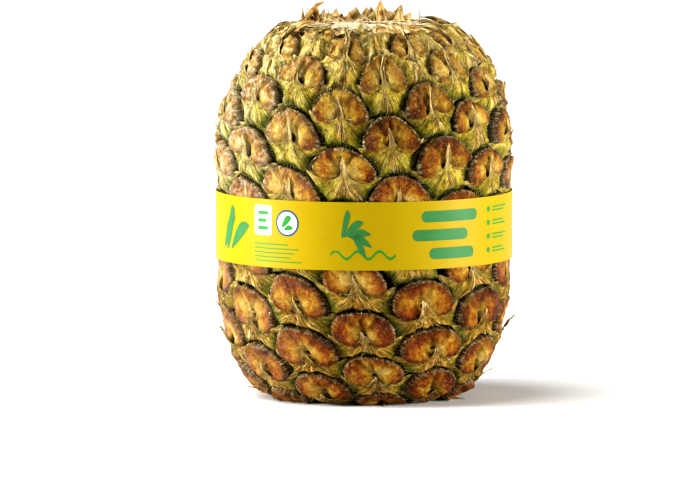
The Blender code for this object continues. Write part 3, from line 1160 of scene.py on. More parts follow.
@dataclass
class Fringe:
    """The pale teeth round each dome and the short hairs along each bract's edge.

    All are drawn coarser and fewer than real ones, as fine as they still show.
    """

    spiral: EyeSpiral
    hair: HairTree
    fibres: Hairs = Hairs("loose_fibres", 2.3, 5.5, 0.10, 0.5)
    teeth: Hairs = Hairs("dome_teeth", 0.85, 1.1, 0.22, 0.4)
    bristles: Hairs = Hairs("bract_hairs", 0.8, 1.4, 0.14, 0.45)
    rim_share: float = 0.935
    rim_points: int = 26

    def dome_guide(self, plan: EyePlan) -> Object:
        """Gives the dome's rim as a line, with the way out from it.

        Args:
            plan: The eye's own shape.

        Returns:
            The guide line.
        """
        style = plan.style
        turns = np.radians(np.linspace(-8.0, 188.0, self.rim_points))
        inner = self._ring(plan, turns, self.rim_share, 0.66 * style.puff)
        outer = self._ring(plan, turns, self.rim_share + 0.10, 0.52 * style.puff)
        lip = plan.lip_level(inner[:, 0])
        keep = inner[:, 1] > (lip - 0.02)
        inner, outer = inner[keep], outer[keep]
        return self._line(inner, outer)

    @staticmethod
    def _ring(plan: EyePlan, turns: Array, share: float, relief: float) -> Array:
        """Gives places on the dome's rounded outline at a share of its size.

        Args:
            plan: The eye's own shape.
            turns: Directions from the dome's middle.
            share: Share of the way to the rim.
            relief: Height in millimetres.

        Returns:
            Rows of across, up and relief.
        """
        style = plan.style
        power = 2 / style.dome_power
        x = np.sign(np.cos(turns)) * np.abs(np.cos(turns)) ** power * style.dome_width * share
        y = np.sign(np.sin(turns)) * np.abs(np.sin(turns)) ** power * style.dome_height * share
        return np.stack([x, y + style.dome_middle, np.full(len(turns), relief)], axis=1)

    def bract_guide(self, plan: EyePlan) -> Object:
        """Gives the bract's hairy sides and foot as a line.

        Args:
            plan: The eye's own shape.

        Returns:
            The guide line.
        """
        outline, hair = plan.outline()
        heart = np.array([0.0, plan.style.heart, 0.0])
        out = outline * (1.0, 1.0, 0.0) - heart
        out = out / np.linalg.norm(out, axis=1)[:, None]
        outer = outline + out * (0.055, 0.055, 0.0) + (0.0, 0.0, 0.5)
        start = int(np.argmax(hair > 0.2))
        keep = [(start + step) % len(outline) for step in range(len(outline))]
        keep = [index for index in keep if hair[index] > 0.2]
        return self._line(outline[keep] + (0.0, 0.0, 0.1), outer[keep])

    def thread_guide(self, plan: EyePlan) -> Object:
        """Gives lines over the bract on which loose fibres stand, away from the spine's root.

        Args:
            plan: The eye's own shape.

        Returns:
            The guide line.
        """
        root = np.array([0.0, plan.style.spine_foot[1] + 0.05])
        turns = np.radians(np.linspace(-66.0, 66.0, 9))
        run = 0.24 + 0.10 * np.sin(np.arange(9) * 2.1 + plan.seed)
        flat = root + np.stack([np.sin(turns) * run, -np.cos(turns) * run], axis=1)
        inner = np.column_stack([flat, np.full(9, 2.3)])
        outer = np.column_stack([root + (flat - root) * 2.0, np.full(9, 1.9)])
        return self._line(inner, outer)

    @staticmethod
    def _line(inner: Array, outer: Array) -> Object:
        """Makes a guide line in lattice units that carries its outward places.

        Args:
            inner: The line's own places.
            outer: The places that its teeth point at.

        Returns:
            The guide line.
        """
        edges = [(index, index + 1) for index in range(len(inner) - 1)]
        out = (outer - inner) * LATTICE
        return make_object("guide", inner * LATTICE, (), edges, {"outer": out}, unit=1.0)

    def _guides(self, name: str, lines: list[Object]) -> Object:
        """Lays one kind of line on every eye and works out where each place points.

        Args:
            name: The lines' name.
            lines: One for each kind of eye.

        Returns:
            The lines, wrapped, with their lay.
        """
        item = self.spiral.lay(name, lines, None)
        points = read_points(item.data)
        lattice = self.spiral.lattice
        here = lattice.wrap(points)
        lay = lattice.wrap(points + read_value(item.data, "outer")) - here
        lay /= np.maximum(np.linalg.norm(lay, axis=1), 1e-6)[:, None]
        write_points(item.data, here * MM)
        write_values(item.data, {"lay": lay})
        return item

    def build(self, teeth: Material, bristle: Material) -> None:
        """Makes the domes' teeth and the bracts' hairs.

        Args:
            teeth: The teeth's finish.
            bristle: The hairs' finish.
        """
        plans = eye_plans()
        domes, bracts, threads = (
            self._guides(name, [guide(plan) for plan in plans]) for name, guide in (
                ("dome_guides", self.dome_guide), ("bract_guides", self.bract_guide),
                ("thread_guides", self.thread_guide)))
        for guides, kind, material in ((threads, self.fibres, bristle), (domes, self.teeth, teeth),
                                       (bracts, self.bristles, bristle)):
            finish_piece(self.hair.grow(guides, kind, material), "rind", "fruit")


@dataclass(frozen=True)
class LeafEnd:
    """One dried leaf end of the crown: where it is rooted, its size and how it curls."""

    azimuth: float
    radius: float
    length: float
    width: float
    lean: float
    curl: float
    root: float = 2.0
    twist: float = 0.0


@dataclass
class CrownRemains:
    """What the twisted-off crown left: a torn scar, leaf ends that stand and ones that lie."""

    top: float = 152.5
    scar_radius: float = 15.5
    scar_depth: float = 1.5
    rows: int = 16
    columns: int = 6
    crumple: float = 0.45
    crumple_size: float = 2.6
    fibres: Hairs = Hairs("torn_fibres", 1.5, 7.5, 0.24, 0.12)
    fibre_circles: tuple[tuple[float, float, float], ...] = (
        (11.0, 2.0, 0.25), (15.0, 1.9, 0.4), (18.0, 1.6, 0.6), (21.5, 1.3, 0.8), (26.0, 0.7, 1.0))
    fibre_roots: int = 70
    standing: tuple[LeafEnd, ...] = (
        LeafEnd(-110.0, 24.0, 13.0, 7.0, 4.0, -62.0, twist=35.0),
        LeafEnd(-128.0, 22.0, 5.0, 17.0, 12.0, 10.0),
        LeafEnd(-119.0, 23.0, 4.0, 11.0, -20.0, 60.0, twist=40.0),
        LeafEnd(-145.0, 20.0, 6.5, 3.5, 4.0, 8.0, twist=30.0),
        LeafEnd(-171.0, 18.5, 8.0, 12.0, 4.0, 16.0, twist=-25.0),
        LeafEnd(-163.0, 19.5, 6.0, 12.5, -14.0, 50.0, twist=30.0),
        LeafEnd(176.0, 20.5, 7.5, 12.0, 6.0, -14.0, twist=40.0),
        LeafEnd(167.0, 19.5, 6.5, 14.0, -18.0, 60.0, twist=-20.0),
        LeafEnd(158.0, 18.5, 10.5, 14.0, 6.0, -12.0, twist=15.0),
        LeafEnd(148.0, 20.5, 6.5, 12.0, 22.0, -60.0, twist=-35.0),
        LeafEnd(137.0, 19.5, 9.0, 11.0, 4.0, 14.0, twist=-20.0),
        LeafEnd(121.0, 26.0, 7.0, 3.0, 2.0, 4.0, twist=50.0),
        LeafEnd(104.0, 27.0, 6.5, 4.0, 24.0, 54.0, twist=20.0),
    )

    def leaf(self, end: LeafEnd, seed: int) -> tuple[Shape, dict[str, Array]]:
        """Works out one thin leaf end.

        Args:
            end: Its place and size.
            seed: Picks its waves and ragged edge.

        Returns:
            Points in millimetres with faces, and the values that it is coloured by.
        """
        facing = math.radians(end.azimuth)
        outward = np.array([math.sin(facing), -math.cos(facing), 0.0])
        across = np.array([math.cos(facing), math.sin(facing), 0.0])
        up = np.array([0.0, 0.0, 1.0])
        spine = outward * end.radius + up * (self.top - end.root)
        angle = math.radians(end.lean)
        step = (end.length + end.root) / self.rows
        sides = ([], [])
        plan = []
        for row in range(self.rows + 1):
            share = row / self.rows
            face = outward * math.cos(angle) - up * math.sin(angle)
            turn = math.radians(end.twist) * share
            side = across * math.cos(turn) + face * math.sin(turn)
            fray = (1 + 0.16 * math.sin(9 * share + seed), 1 + 0.16 * math.sin(13 * share + 2 * seed))
            half = end.width / 2 * (1.15 * (1 - share) ** 0.9 + 0.15 * (1 - share) ** 4) + 0.10
            thick = 0.28 * (1 - 0.6 * share)
            wave = 0.6 * math.sin(3.0 * share + seed)
            for column in range(self.columns + 1):
                x = column / self.columns * 2 - 1
                reach = x * half * fray[x > 0]
                fold = 0.28 * abs(reach) + 0.25 * math.cos(x * 7 + seed) * (1 - share)
                fold += 0.3 * x * math.sin(8 * share + seed)
                place = spine + side * reach + face * (fold + wave)
                thin = thick * (1 - 0.75 * x * x)
                sides[0].append(place - face * thin)
                sides[1].append(place + face * thin)
                plan.append((x, share, 0.0))
            spine = spine + (outward * math.sin(angle) + up * math.cos(angle)) * step
            angle += math.radians(end.curl) / self.rows
        wide = self.columns + 1
        size = len(plan)
        faces = []
        for row, column in itertools.product(range(self.rows), range(self.columns)):
            a = row * wide + column
            quad = (a, a + 1, a + wide + 1, a + wide)
            faces.append(quad)
            faces.append(tuple(index + size for index in quad[::-1]))
        ring = list(range(wide))
        ring += [row * wide + self.columns for row in range(1, self.rows + 1)]
        ring += [self.rows * wide + column for column in range(self.columns - 1, -1, -1)]
        ring += [row * wide for row in range(self.rows - 1, 0, -1)]
        for here, there in zip(ring, ring[1:] + ring[:1]):
            faces.append((there, here, here + size, there + size))
        values = {"plan": np.array(plan + plan), "eye": np.full(2 * size, (seed * 0.37) % 1.0)}
        return (np.array(sides[0] + sides[1]), faces), values

    def lying(self) -> list[LeafEnd]:
        """Gives the low leaf ends: flat ones that point at the scar and, behind it, a crumpled heap.

        Returns:
            The leaf ends.
        """
        pick = random.Random(11).uniform
        ends = []
        for number in range(30):
            azimuth = (number + pick(0.1, 0.9)) * 360.0 / 30
            behind = (1 - math.cos(math.radians(azimuth))) / 2
            ends.append(LeafEnd(azimuth, pick(24.0, 30.0), pick(6.0, 10.0), pick(5.0, 9.0),
                                pick(-88.0, -76.0) + 22.0 * behind, pick(-25.0, 10.0),
                                root=2.2 - behind, twist=pick(-35, 35)))
        for number in range(24):
            azimuth = (number + pick(0.1, 0.9)) * 360.0 / 24
            ends.append(LeafEnd(azimuth, pick(33.0, 38.0), pick(9.0, 14.0), pick(4.0, 7.5),
                                pick(-66.0, -56.0), pick(-34.0, -20.0), root=0.6, twist=pick(-35, 35)))
        for number in range(44):
            azimuth = 180.0 + pick(-40.0, 40.0) if number % 2 else -126.0 + pick(-22.0, 22.0)
            ends.append(LeafEnd(azimuth, pick(18.5, 25.5), pick(4.5, 8.5), pick(4.0, 10.0),
                                pick(-45.0, 45.0), pick(-80.0, 80.0), root=1.0, twist=pick(-80, 80)))
        for number in range(14):
            azimuth = (number + pick(0.3, 0.7)) * 360.0 / 14
            behind = (1 - math.cos(math.radians(azimuth))) / 2
            ends.append(LeafEnd(azimuth, pick(26.0, 30.0), pick(1.6, 2.4) + 2.0 * behind,
                                pick(6.0, 9.0), pick(50.0, 75.0), pick(5.0, 25.0)))
        for azimuth in range(148, 218, 10):
            ends.append(LeafEnd(azimuth, 30.0, pick(6.0, 8.0), pick(8.0, 11.0), pick(85.0, 95.0),
                                pick(15.0, 35.0), root=2.2))
        return ends

    def leaves(self, name: str, ends: Sequence[LeafEnd], material: Material) -> None:
        """Makes a group of leaf ends as one piece.

        Args:
            name: The piece's name.
            ends: The leaf ends.
            material: Their finish.
        """
        made = [self.leaf(end, seed + 1) for seed, end in enumerate(ends)]
        places, faces = joined([shape for shape, _ in made])
        values = {key: np.concatenate([part[key] for _, part in made]) for key in ("plan", "eye")}
        for axis in range(3):
            places[:, axis] += self.crumple * smooth_noise(places, self.crumple_size, 81 + axis)
        item = make_object(name, places, faces, values=values, material=material)
        finish_piece(item, "rind", "fruit")

    def scar(self, material: Material) -> None:
        """Makes the torn, fibrous disc where the crown was twisted off.

        Args:
            material: Its finish.
        """
        spokes, rings = 150, 20
        turns = np.arange(spokes) * math.tau / spokes
        round_spots = np.stack([np.cos(turns) * 9, np.sin(turns) * 9, np.zeros(spokes)], axis=1)
        ragged = 1 + 0.13 * smooth_noise(round_spots, 4.0, 31) + 0.10 * smooth_noise(round_spots, 1.2, 32)
        points = [np.array([(0.0, 0.0, self.top + 1.2)])]
        for ring in range(1, rings + 1):
            share = ring / rings
            radius = (self.scar_radius + 3.0) * share * (1 + (ragged - 1) * share)
            spots = round_spots * (3.5, 3.5, 0) + (0, 0, 4 * share)
            torn = 0.7 * smooth_noise(spots, 1.6, 33) + 0.5 * smooth_noise(spots * 0.2, 1.5, 34)
            level = self.top + 1.2 + torn * min(1.0, 2 * share) - 1.8 * share ** 4
            points.append(np.stack([radius * np.cos(turns), radius * np.sin(turns), level], axis=1))
        points.append(np.array([(0.0, 0.0, self.top - self.scar_depth)]))
        faces = [(0, 1 + spot, 1 + (spot + 1) % spokes) for spot in range(spokes)]
        faces += ring_faces(1, rings - 1, spokes, turned=True)
        rim, under = 1 + (rings - 1) * spokes, 1 + rings * spokes
        faces.extend((under, rim + (spot + 1) % spokes, rim + spot) for spot in range(spokes))
        item = make_object("crown_scar", np.concatenate(points), faces, material=material)
        finish_piece(item, "rind", "fruit")

    def torn_fibres(self, hair: HairTree, material: Material) -> None:
        """Makes the pale fibres that stream from the scar over the top eyes.

        Args:
            hair: The tree that sets them.
            material: Their finish.
        """
        draw = random.Random(5)
        points, edges, lay = [], [], []
        for radius, level, outward in self.fibre_circles:
            start, count = len(points), self.fibre_roots
            for spoke in range(count):
                turn = math.tau * (spoke + draw.uniform(-0.4, 0.4)) / count
                out = np.array([math.cos(turn), math.sin(turn), 0.0])
                side = np.array([-math.sin(turn), math.cos(turn), 0.0])
                points.append(out * radius + (0, 0, self.top + level + draw.uniform(-0.3, 0.3)))
                lay.append(out * outward * draw.uniform(0.6, 1.0) + side * draw.uniform(-0.8, 0.8)
                           + (0, 0, draw.uniform(-0.12, 0.10)))
                edges.append((start + spoke, start + (spoke + 1) % count))
        guides = make_object("fibre_guides", np.array(points), (), edges, {"lay": np.array(lay)})
        item = hair.grow(guides, self.fibres, material)
        finish_piece(item, "rind", "fruit")

    def build(self, hair: HairTree, leaf: Material, fibre: Material) -> None:
        """Makes everything at the fruit's top.

        Args:
            hair: The tree that sets loose fibres.
            leaf: The leaf ends' finish.
            fibre: The scar's finish.
        """
        self.leaves("standing_leaf_ends", self.standing, leaf)
        self.leaves("lying_leaf_ends", self.lying(), leaf)
        self.scar(fibre)
        self.torn_fibres(hair, fibre)


@dataclass
class CutStem:
    """The sawn end of the stalk, level with the lowest eyes."""

    radius: float = 13.0
    level: float = 0.02
    spokes: int = 72
    rings: int = 10

    def build(self, material: Material) -> None:
        """Makes a thin disc, dished between its woody rings.

        Args:
            material: Its finish.
        """
        points = []
        for ring in range(self.rings + 1):
            share = ring / self.rings
            dish = 0.25 * (1 - share) + 0.08 * math.sin(share * 25)
            for spoke in range(self.spokes):
                turn = math.tau * spoke / self.spokes
                radius = self.radius * max(share, 0.02) * (1 + 0.02 * math.sin(7 * turn) * share)
                level = self.level + dish * (share < 1)
                points.append((radius * math.cos(turn), radius * math.sin(turn), level))
        for spoke in range(self.spokes):
            turn = math.tau * spoke / self.spokes
            points.append((self.radius * math.cos(turn), self.radius * math.sin(turn), 1.5))
        faces = [tuple(range(self.spokes))]
        faces += ring_faces(0, self.rings + 1, self.spokes, turned=True)
        faces.append(tuple(range((self.rings + 1) * self.spokes, (self.rings + 2) * self.spokes)))
        item = make_object("cut_stem", np.array(points), faces, material=material)
        face_outwards(item.data)
        finish_piece(item, "rind", "fruit")


class Ink(Enum):
    """The band's printed colours."""

    DARK = "dark_green"
    GREEN = "green"
    WHITE = "white"
    NAVY = "navy"


@dataclass(frozen=True)
class Motif:
    """A printed shape, in millimetres along the band from its front and up from the band's foot."""

    def edges(self) -> Edges:
        """Gives places along the band, and the shape's lower and upper edge at each."""
        raise NotImplementedError


@dataclass(frozen=True)
class Bar(Motif):
    """A bar with rounded ends, or with less roundness a sheet with small corners."""

    start: float
    end: float
    low: float
    high: float
    layer: int = 1
    roundness: float = 1.0

    def edges(self) -> Edges:
        """Rounds both ends by as much as the bar's height and length allow.

        Returns:
            Places along the band, lower edge and upper edge.
        """
        start, end, tall = self.start, self.end, self.high - self.low
        reach = min(tall / 2, (end - start) / 2) * self.roundness
        turn = np.radians(np.linspace(2.0, 90.0, 8))
        inset = np.concatenate([[0.0], reach * (1 - np.cos(turn))])
        drop = np.concatenate([[reach], reach * (1 - np.sin(turn))])
        middle = np.linspace(start + reach, end - reach, max(3, int((end - start) / 1.5)))[1:-1]
        cut = np.minimum(np.concatenate([drop, np.zeros(len(middle)), drop[::-1]]), tall / 2 - 0.01)
        along = np.concatenate([start + inset, middle, (end - inset)[::-1]])
        return along, self.low + cut, self.high - cut


@dataclass(frozen=True)
class Disc(Motif):
    """A round spot."""

    across: float
    up: float
    radius: float
    layer: int = 1

    def edges(self) -> Edges:
        """Follows the circle.

        Returns:
            Places along the band, lower edge and upper edge.
        """
        turn = np.radians(np.linspace(4.0, 176.0, 32))
        half = self.radius * np.sin(turn)
        return self.across - self.radius * np.cos(turn), self.up - half, self.up + half


@dataclass(frozen=True)
class Leaf(Motif):
    """A pointed leaf that bends as it goes, with its heading in degrees up from level."""

    across: float
    up: float
    length: float
    width: float
    heading: float
    layer: int = 1

    def edges(self) -> Edges:
        """Sets the leaf's width out on both sides of its bent middle line.

        Returns:
            Places along the band, lower edge and upper edge.
        """
        share = np.linspace(0.02, 0.98, 18)
        heading = math.radians(self.heading)
        along = self.across + self.length * math.cos(heading) * share
        middle = self.up + (along - self.across) * math.tan(heading)
        middle = middle + 0.12 * self.length * np.sin(share * math.pi)
        half = self.width / 2 * np.sin(share * math.pi) ** 0.8 / max(0.35, math.cos(heading))
        order = np.argsort(along)
        return along[order], (middle - half)[order], (middle + half)[order]


@dataclass(frozen=True)
class Wave(Motif):
    """A wavy line."""

    start: float
    end: float
    up: float
    swing: float
    width: float
    layer: int = 1
    period: float = 9.0

    def edges(self) -> Edges:
        """Swings the line from its left end.

        Returns:
            Places along the band, lower edge and upper edge.
        """
        along = np.linspace(self.start, self.end, max(8, int((self.end - self.start) * 1.5)))
        middle = self.up + self.swing * np.sin((along - self.start) / self.period * math.tau)
        return along, middle - self.width / 2, middle + self.width / 2


@dataclass
class PaperBand:
    """The paper band: a glued loop with generic print of bars, leaves, discs and dots."""

    radius: float = 61.1
    paper: float = 0.3
    segments: int = 360
    rows: int = 7
    overlap: float = math.radians(14.0)
    ink_step: float = 0.035
    ink_film: float = 0.05
    ink_soak: float = 0.02
    swell: float = 0.07
    swell_size: float = 16.0
    sharp: float = math.radians(40.0)

    def __post_init__(self) -> None:
        """Reads the band's edges from the frame."""
        low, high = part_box("band")
        self.low, self.high = low[2] / MM, high[2] / MM

    def surface(self, turn: Array, level: Array) -> Array:
        """Gives the paper's outer radius, with the faint swells of the eyes under it.

        Args:
            turn: Angles round the axis.
            level: Heights over the ground.

        Returns:
            One radius for each place.
        """
        spot = np.stack([turn * self.radius, level, np.zeros(len(turn))], axis=1)
        away = np.abs(np.mod(turn, math.tau) - math.pi)
        doubled = self.paper * smooth_step(self.overlap / 2 + 0.002, self.overlap / 2, away)
        return self.radius + self.paper + doubled + self.swell * smooth_noise(spot, self.swell_size, 41)

    def loop(self, material: Material) -> None:
        """Makes the paper loop.

        Args:
            material: Its finish.
        """
        turns = np.linspace(0.0, math.tau, self.segments, endpoint=False)
        levels = np.linspace(self.low, self.high, self.rows)
        points = []
        for side, inset in ((levels, 0.0), (levels[::-1], self.paper)):
            for level in side:
                at_level = np.full(len(turns), level)
                points.append(self._round(turns, self.surface(turns, at_level) - inset, at_level))
        total = 2 * self.rows * self.segments
        quads = ring_faces(0, 2 * self.rows, self.segments)
        faces = [tuple(index % total for index in quad) for quad in quads]
        item = make_object("paper_band", np.concatenate(points), faces, material=material)
        item.data.set_sharp_from_angle(angle=self.sharp)
        finish_piece(item, "paper", "band")

    @staticmethod
    def _round(turns: Array, radius: Array, level: Array) -> Array:
        """Places radii round the axis, from the front."""
        return np.stack([radius * np.sin(turns), -radius * np.cos(turns), level], axis=1)

    def strip(self, motif: Motif) -> Shape:
        """Wraps a printed shape round the band, over the inks that lie under its layer.

        Args:
            motif: The shape.

        Returns:
            Points in millimetres and faces.
        """
        along, low, high = motif.edges()
        turns = along / (self.radius + self.paper)
        points = []
        for film in (1.0, 0.0):
            for edge in (low, high):
                level = self.low + edge
                over = self.ink_step * motif.layer + self.ink_film * film - self.ink_soak
                points.append(self._round(turns, self.surface(turns, level) + over, level))
        count = len(along)
        faces = []
        for index in range(count - 1):
            for first, second in ((0, 1), (1, 3), (3, 2), (2, 0)):
                a, b = first * count + index, second * count + index
                faces.append((a, a + 1, b + 1, b))
        for end in (0, count - 1):
            faces.append((end, count + end, 3 * count + end, 2 * count + end))
        return np.concatenate(points), faces

    def motifs(self, ink: Ink) -> list[Motif]:
        """Lists one ink's shapes: a generic layout that repeats plainly at the back.

        Args:
            ink: The ink.

        Returns:
            Its shapes.
        """
        if ink is Ink.WHITE:
            return [Bar(-50.0, -40.8, 13.2, 25.4, roundness=0.25), Disc(-33.0, 18.6, 4.6, layer=2)]
        if ink is Ink.NAVY:
            return [Disc(-33.0, 18.6, 5.4)]
        if ink is Ink.DARK:
            front = ((24.0, 52.0, 19.2), (20.0, 46.5, 11.6), (27.5, 50.0, 4.0))
            blades = ((-74.0, 52.0), (-71.0, 66.0), (-67.0, 38.0))
            fan = ((-9.5 + 1.2 * number, 68.0 - 31.0 * number) for number in range(5))
            return [*(Bar(start, end, low, low + 4.6) for start, end, low in front),
                    *(Leaf(across, 6.0, 17.0, 5.2, heading) for across, heading in blades),
                    *(Leaf(across, 13.6, 10.0, 3.2, heading) for across, heading in fan),
                    *(Bar(across, across + 20.0, 11.6, 16.2) for across in (110.0, 140.0, 222.0, 252.0))]
        made: list[Motif] = [Wave(-14.0, 13.0, 6.3, 1.6, 1.1)]
        for number in range(4):
            drop, odd = 5.6 * number, number % 2
            made += [Disc(60.0, 22.8 - drop, 1.15),
                     Bar(63.0, 76.0 - odd * 3.0, 23.2 - drop, 23.8 - drop),
                     Bar(63.0, 73.5 + odd * 2.0, 21.8 - drop, 22.4 - drop)]
        for number in range(5):
            rise = 1.75 * number
            made.append(Bar(-50.0, -26.5 - (number * 5) % 7, 2.4 + rise, 2.85 + rise))
        made += [Leaf(-35.8, 17.0, 6.2, 3.0, 38.0, layer=3), Leaf(-34.6, 15.9, 4.6, 2.2, 8.0, layer=3)]
        for number in range(3):
            rise = 3.1 * number
            made.append(Bar(-48.2, -42.4 - number % 2, 15.3 + rise, 16.9 + rise, layer=2))
        return made + [Wave(96.0, 280.0, up, 1.4, 0.9) for up in (4.5, 23.4)]

    def build(self, paper: Material, inks: dict[Ink, Material]) -> None:
        """Makes the loop and its print.

        Args:
            paper: The loop's finish.
            inks: Each ink's finish.
        """
        self.loop(paper)
        for ink in Ink:
            shape = joined([self.strip(motif) for motif in self.motifs(ink)])
            item = make_object(f"print_{ink.value}", *shape, material=inks[ink])
            face_outwards(item.data)
            item.data.shade_flat()
            finish_piece(item, "paper")


def start_finish(name: str, roughness: float, gloss: float) -> tuple[Material, Adder]:
    """Starts a material.

    Args:
        name: The material's name.
        roughness: The surface's roughness.
        gloss: The surface's specular level.

    Returns:
        The material, and add_node for its tree.
    """
    made = bpy.data.materials.new(name)
    made.use_nodes = True
    shader = made.node_tree.nodes["Principled BSDF"]
    shader.inputs["Roughness"].default_value = roughness
    shader.inputs["Specular IOR Level"].default_value = gloss
    return made, partial(add_node, made.node_tree)


def end_finish(made: Material, colour: NodeSocket, height: NodeSocket,
               strength: float, depth_mm: float) -> Material:
    """Gives a material's shader its colour and its fine relief.

    Args:
        made: The material.
        colour: The base colour.
        height: The relief, from 0 to 1.
        strength: How much of the relief shows.
        depth_mm: Depth of the whole relief.

    Returns:
        The same material.
    """
    shader = made.node_tree.nodes["Principled BSDF"]
    relief = add_node(made.node_tree, "ShaderNodeBump", {
        "Strength": strength, "Distance": depth_mm * MM, "Height": height})
    made.node_tree.links.new(colour, shader.inputs["Base Color"])
    made.node_tree.links.new(relief, shader.inputs["Normal"])
    return made


SPOT_STOPS: Stops = ((0.34, "#3c3c3c"), (0.5, "#808080"), (0.66, "#d8d8d8"))


def layered(node: Adder, base: NodeSocket, rows: Sequence[Sequence[Any]],
            spots: NodeSocket, contrast: float) -> NodeSocket:
    """Lays colours over a base and roughens the result with light and dark spots.

    Args:
        node: add_node for the material's tree.
        base: The colour below.
        rows: For each colour a value, its range if that isn't 0 to 1, the cover at its end, and the colour.
        spots: Noise that lightens and darkens.
        contrast: How much of it shows.

    Returns:
        The colour on top.
    """
    for value, *span, most, colour in rows:
        cover = node("ShaderNodeMapRange", (value, *(span or (0.0, 1.0)), 0.0, most))
        over = linear(colour) if isinstance(colour, str) else colour
        base = node("ShaderNodeMix", {0: cover, 6: base, 7: over}, data_type="RGBA")
    tone = node("ShaderNodeValToRGB", (spots,), stops=SPOT_STOPS)
    return node("ShaderNodeMix", {0: contrast, 6: base, 7: tone}, data_type="RGBA", blend_type="OVERLAY")


@dataclass(frozen=True)
class EyeSkin:
    """Living sepals under a grown coat of wax.

    The wax gives small soft highlights on the puffs. The skin below is blotched gold and red-brown,
    with pale pleats at the rims, pale flecks as painted highlights, painted shade in the creases and
    grooves that painted shade darkens almost to black. One side is paler, partly bleached by light
    and partly painted side light.
    """

    roughness: float = 0.34
    gloss: float = 0.10
    contrast: float = 0.24
    patterns_mm: tuple[float, ...] = (8.0, 2.2, 1.3, 0.8)
    shift: tuple[float, float] = (60 * MM, 110 * MM)
    tone_from: float = -1.10
    warm_stops: Stops = ((0.0, "#cbad5e"), (0.12, "#bd963c"), (0.26, "#a8751a"), (0.38, "#955008"),
                         (0.50, "#7b3402"), (0.64, "#5a2400"), (0.85, "#6e410a"))
    yellow_stops: Stops = ((0.0, "#c6b060"), (0.12, "#ba9c42"), (0.28, "#9f7a1c"), (0.42, "#835208"),
                           (0.54, "#663602"), (0.70, "#442200"), (0.9, "#6a4a10"))
    tan_stops: Stops = ((0.32, "#80541c"), (0.5, "#ca9e50"), (0.66, "#f6dea4"))
    # Partly bleaching and partly painted side light on the fruit's left.
    cream_stops: Stops = ((0.34, "#64481c"), (0.5, "#c2aa7a"), (0.64, "#f8f0da"))
    # Painted shade that darkens the grooves by their depth.
    groove_shade_stops: Stops = ((0.3, "#342804"), (0.9, "#100b01"))
    # Painted highlight on pale flecks at the bump peaks.
    highlight_fleck: str = "#d4c08e"
    rim_shade: str = "#392908"
    pleat: str = "#e6d8a8"
    # Painted shade in the cleft, navel, creases and under the bract's lip.
    crease: str = "#241203"

    def material(self) -> Material:
        """Builds the finish from the eye's own marks and noise as wide as blotches, mottles and pores.

        Returns:
            The material.
        """
        made, node = start_finish("waxy_sepal_skin", self.roughness, self.gloss)
        rim, fan, eye, crease, deep, sallow, living, aged, faded = (
            node("ShaderNodeAttribute", attribute_name=name, output="Fac")
            for name in ("rim", "fan", "eye", "crease", "deep", "sallow", "living", "aged", "faded"))
        place = node("ShaderNodeTexCoord", output="Object")
        height = node("ShaderNodeSeparateXYZ", (place,), output="Z")
        blotch, mottle, wrinkle, pore = (
            node("ShaderNodeTexNoise", {
                "Vector": place, "Scale": 1 / (size * MM), "Detail": 4.0, "Roughness": 0.6})
            for size in self.patterns_mm)
        # Streaks run from the dome's middle to its rim, as its pleats do.
        along = node("ShaderNodeVectorMath", (
            node("ShaderNodeCombineXYZ", (fan, rim, eye)), (26.0, 1.3, 57.0)), operation="MULTIPLY")
        streak = node("ShaderNodeTexNoise", {"Vector": along, "Scale": 1.0, "Roughness": 0.6})
        tone = self.tone_from
        for part, weight in ((rim, 0.50), (blotch, 1.3), (mottle, 0.6), (streak, 0.14), (eye, 0.22),
                             (aged, -0.14)):
            tone = node("ShaderNodeMath", (part, weight, tone), operation="MULTIPLY_ADD")
        warm, yellow, tan, cream, groove = (
            node("ShaderNodeValToRGB", (value,), stops=stops) for value, stops in (
                (tone, self.warm_stops), (tone, self.yellow_stops), (mottle, self.tan_stops),
                (mottle, self.cream_stops), (deep, self.groove_shade_stops)))
        # The eyes above the band are lighter inside, with a narrower dark rim and more pale pleats.
        shade, rim_from, ripe = (
            node("ShaderNodeMapRange", (height, *self.shift, least, most))
            for least, most in ((0.52, 0.72), (0.63, 0.78), (0.35, 0.75)))
        dark = node("ShaderNodeMath", (living, shade), operation="MULTIPLY")
        rough = node("ShaderNodeMapRange", (blotch, 0.42, 0.60, 0.05, 0.42))
        pleated = node("ShaderNodeMapRange", (rim, 0.85, 0.95, 0.0, ripe))
        # Painted light in these layers: pale flecks as painted highlights, cream sides partly painted side
        # light, painted shade in the creases and under the lips, and grooves darkened by depth as painted
        # shade.
        base = layered(node, warm, (
            (sallow, 1.0, yellow),
            (pore, 0.56, 0.68, rough, self.highlight_fleck),
            (rim, rim_from, 0.96, dark, self.rim_shade),
            (aged, 0.5, tan),
            (faded, 0.5, cream),
            (streak, 0.46, 0.62, pleated, self.pleat),
            (crease, 0.72, self.crease),
            (deep, 0.0, 0.55, 1.0, groove)), wrinkle, self.contrast)
        fold = node("ShaderNodeMapRange", (rim, 0.6, 0.95, 0.3, 1.3))
        grain = node("ShaderNodeMath", (mottle, 1.8, pore), operation="MULTIPLY_ADD")
        grain = node("ShaderNodeMath", (streak, fold, grain), operation="MULTIPLY_ADD")
        return end_finish(made, base, grain, 0.9, 1.2)


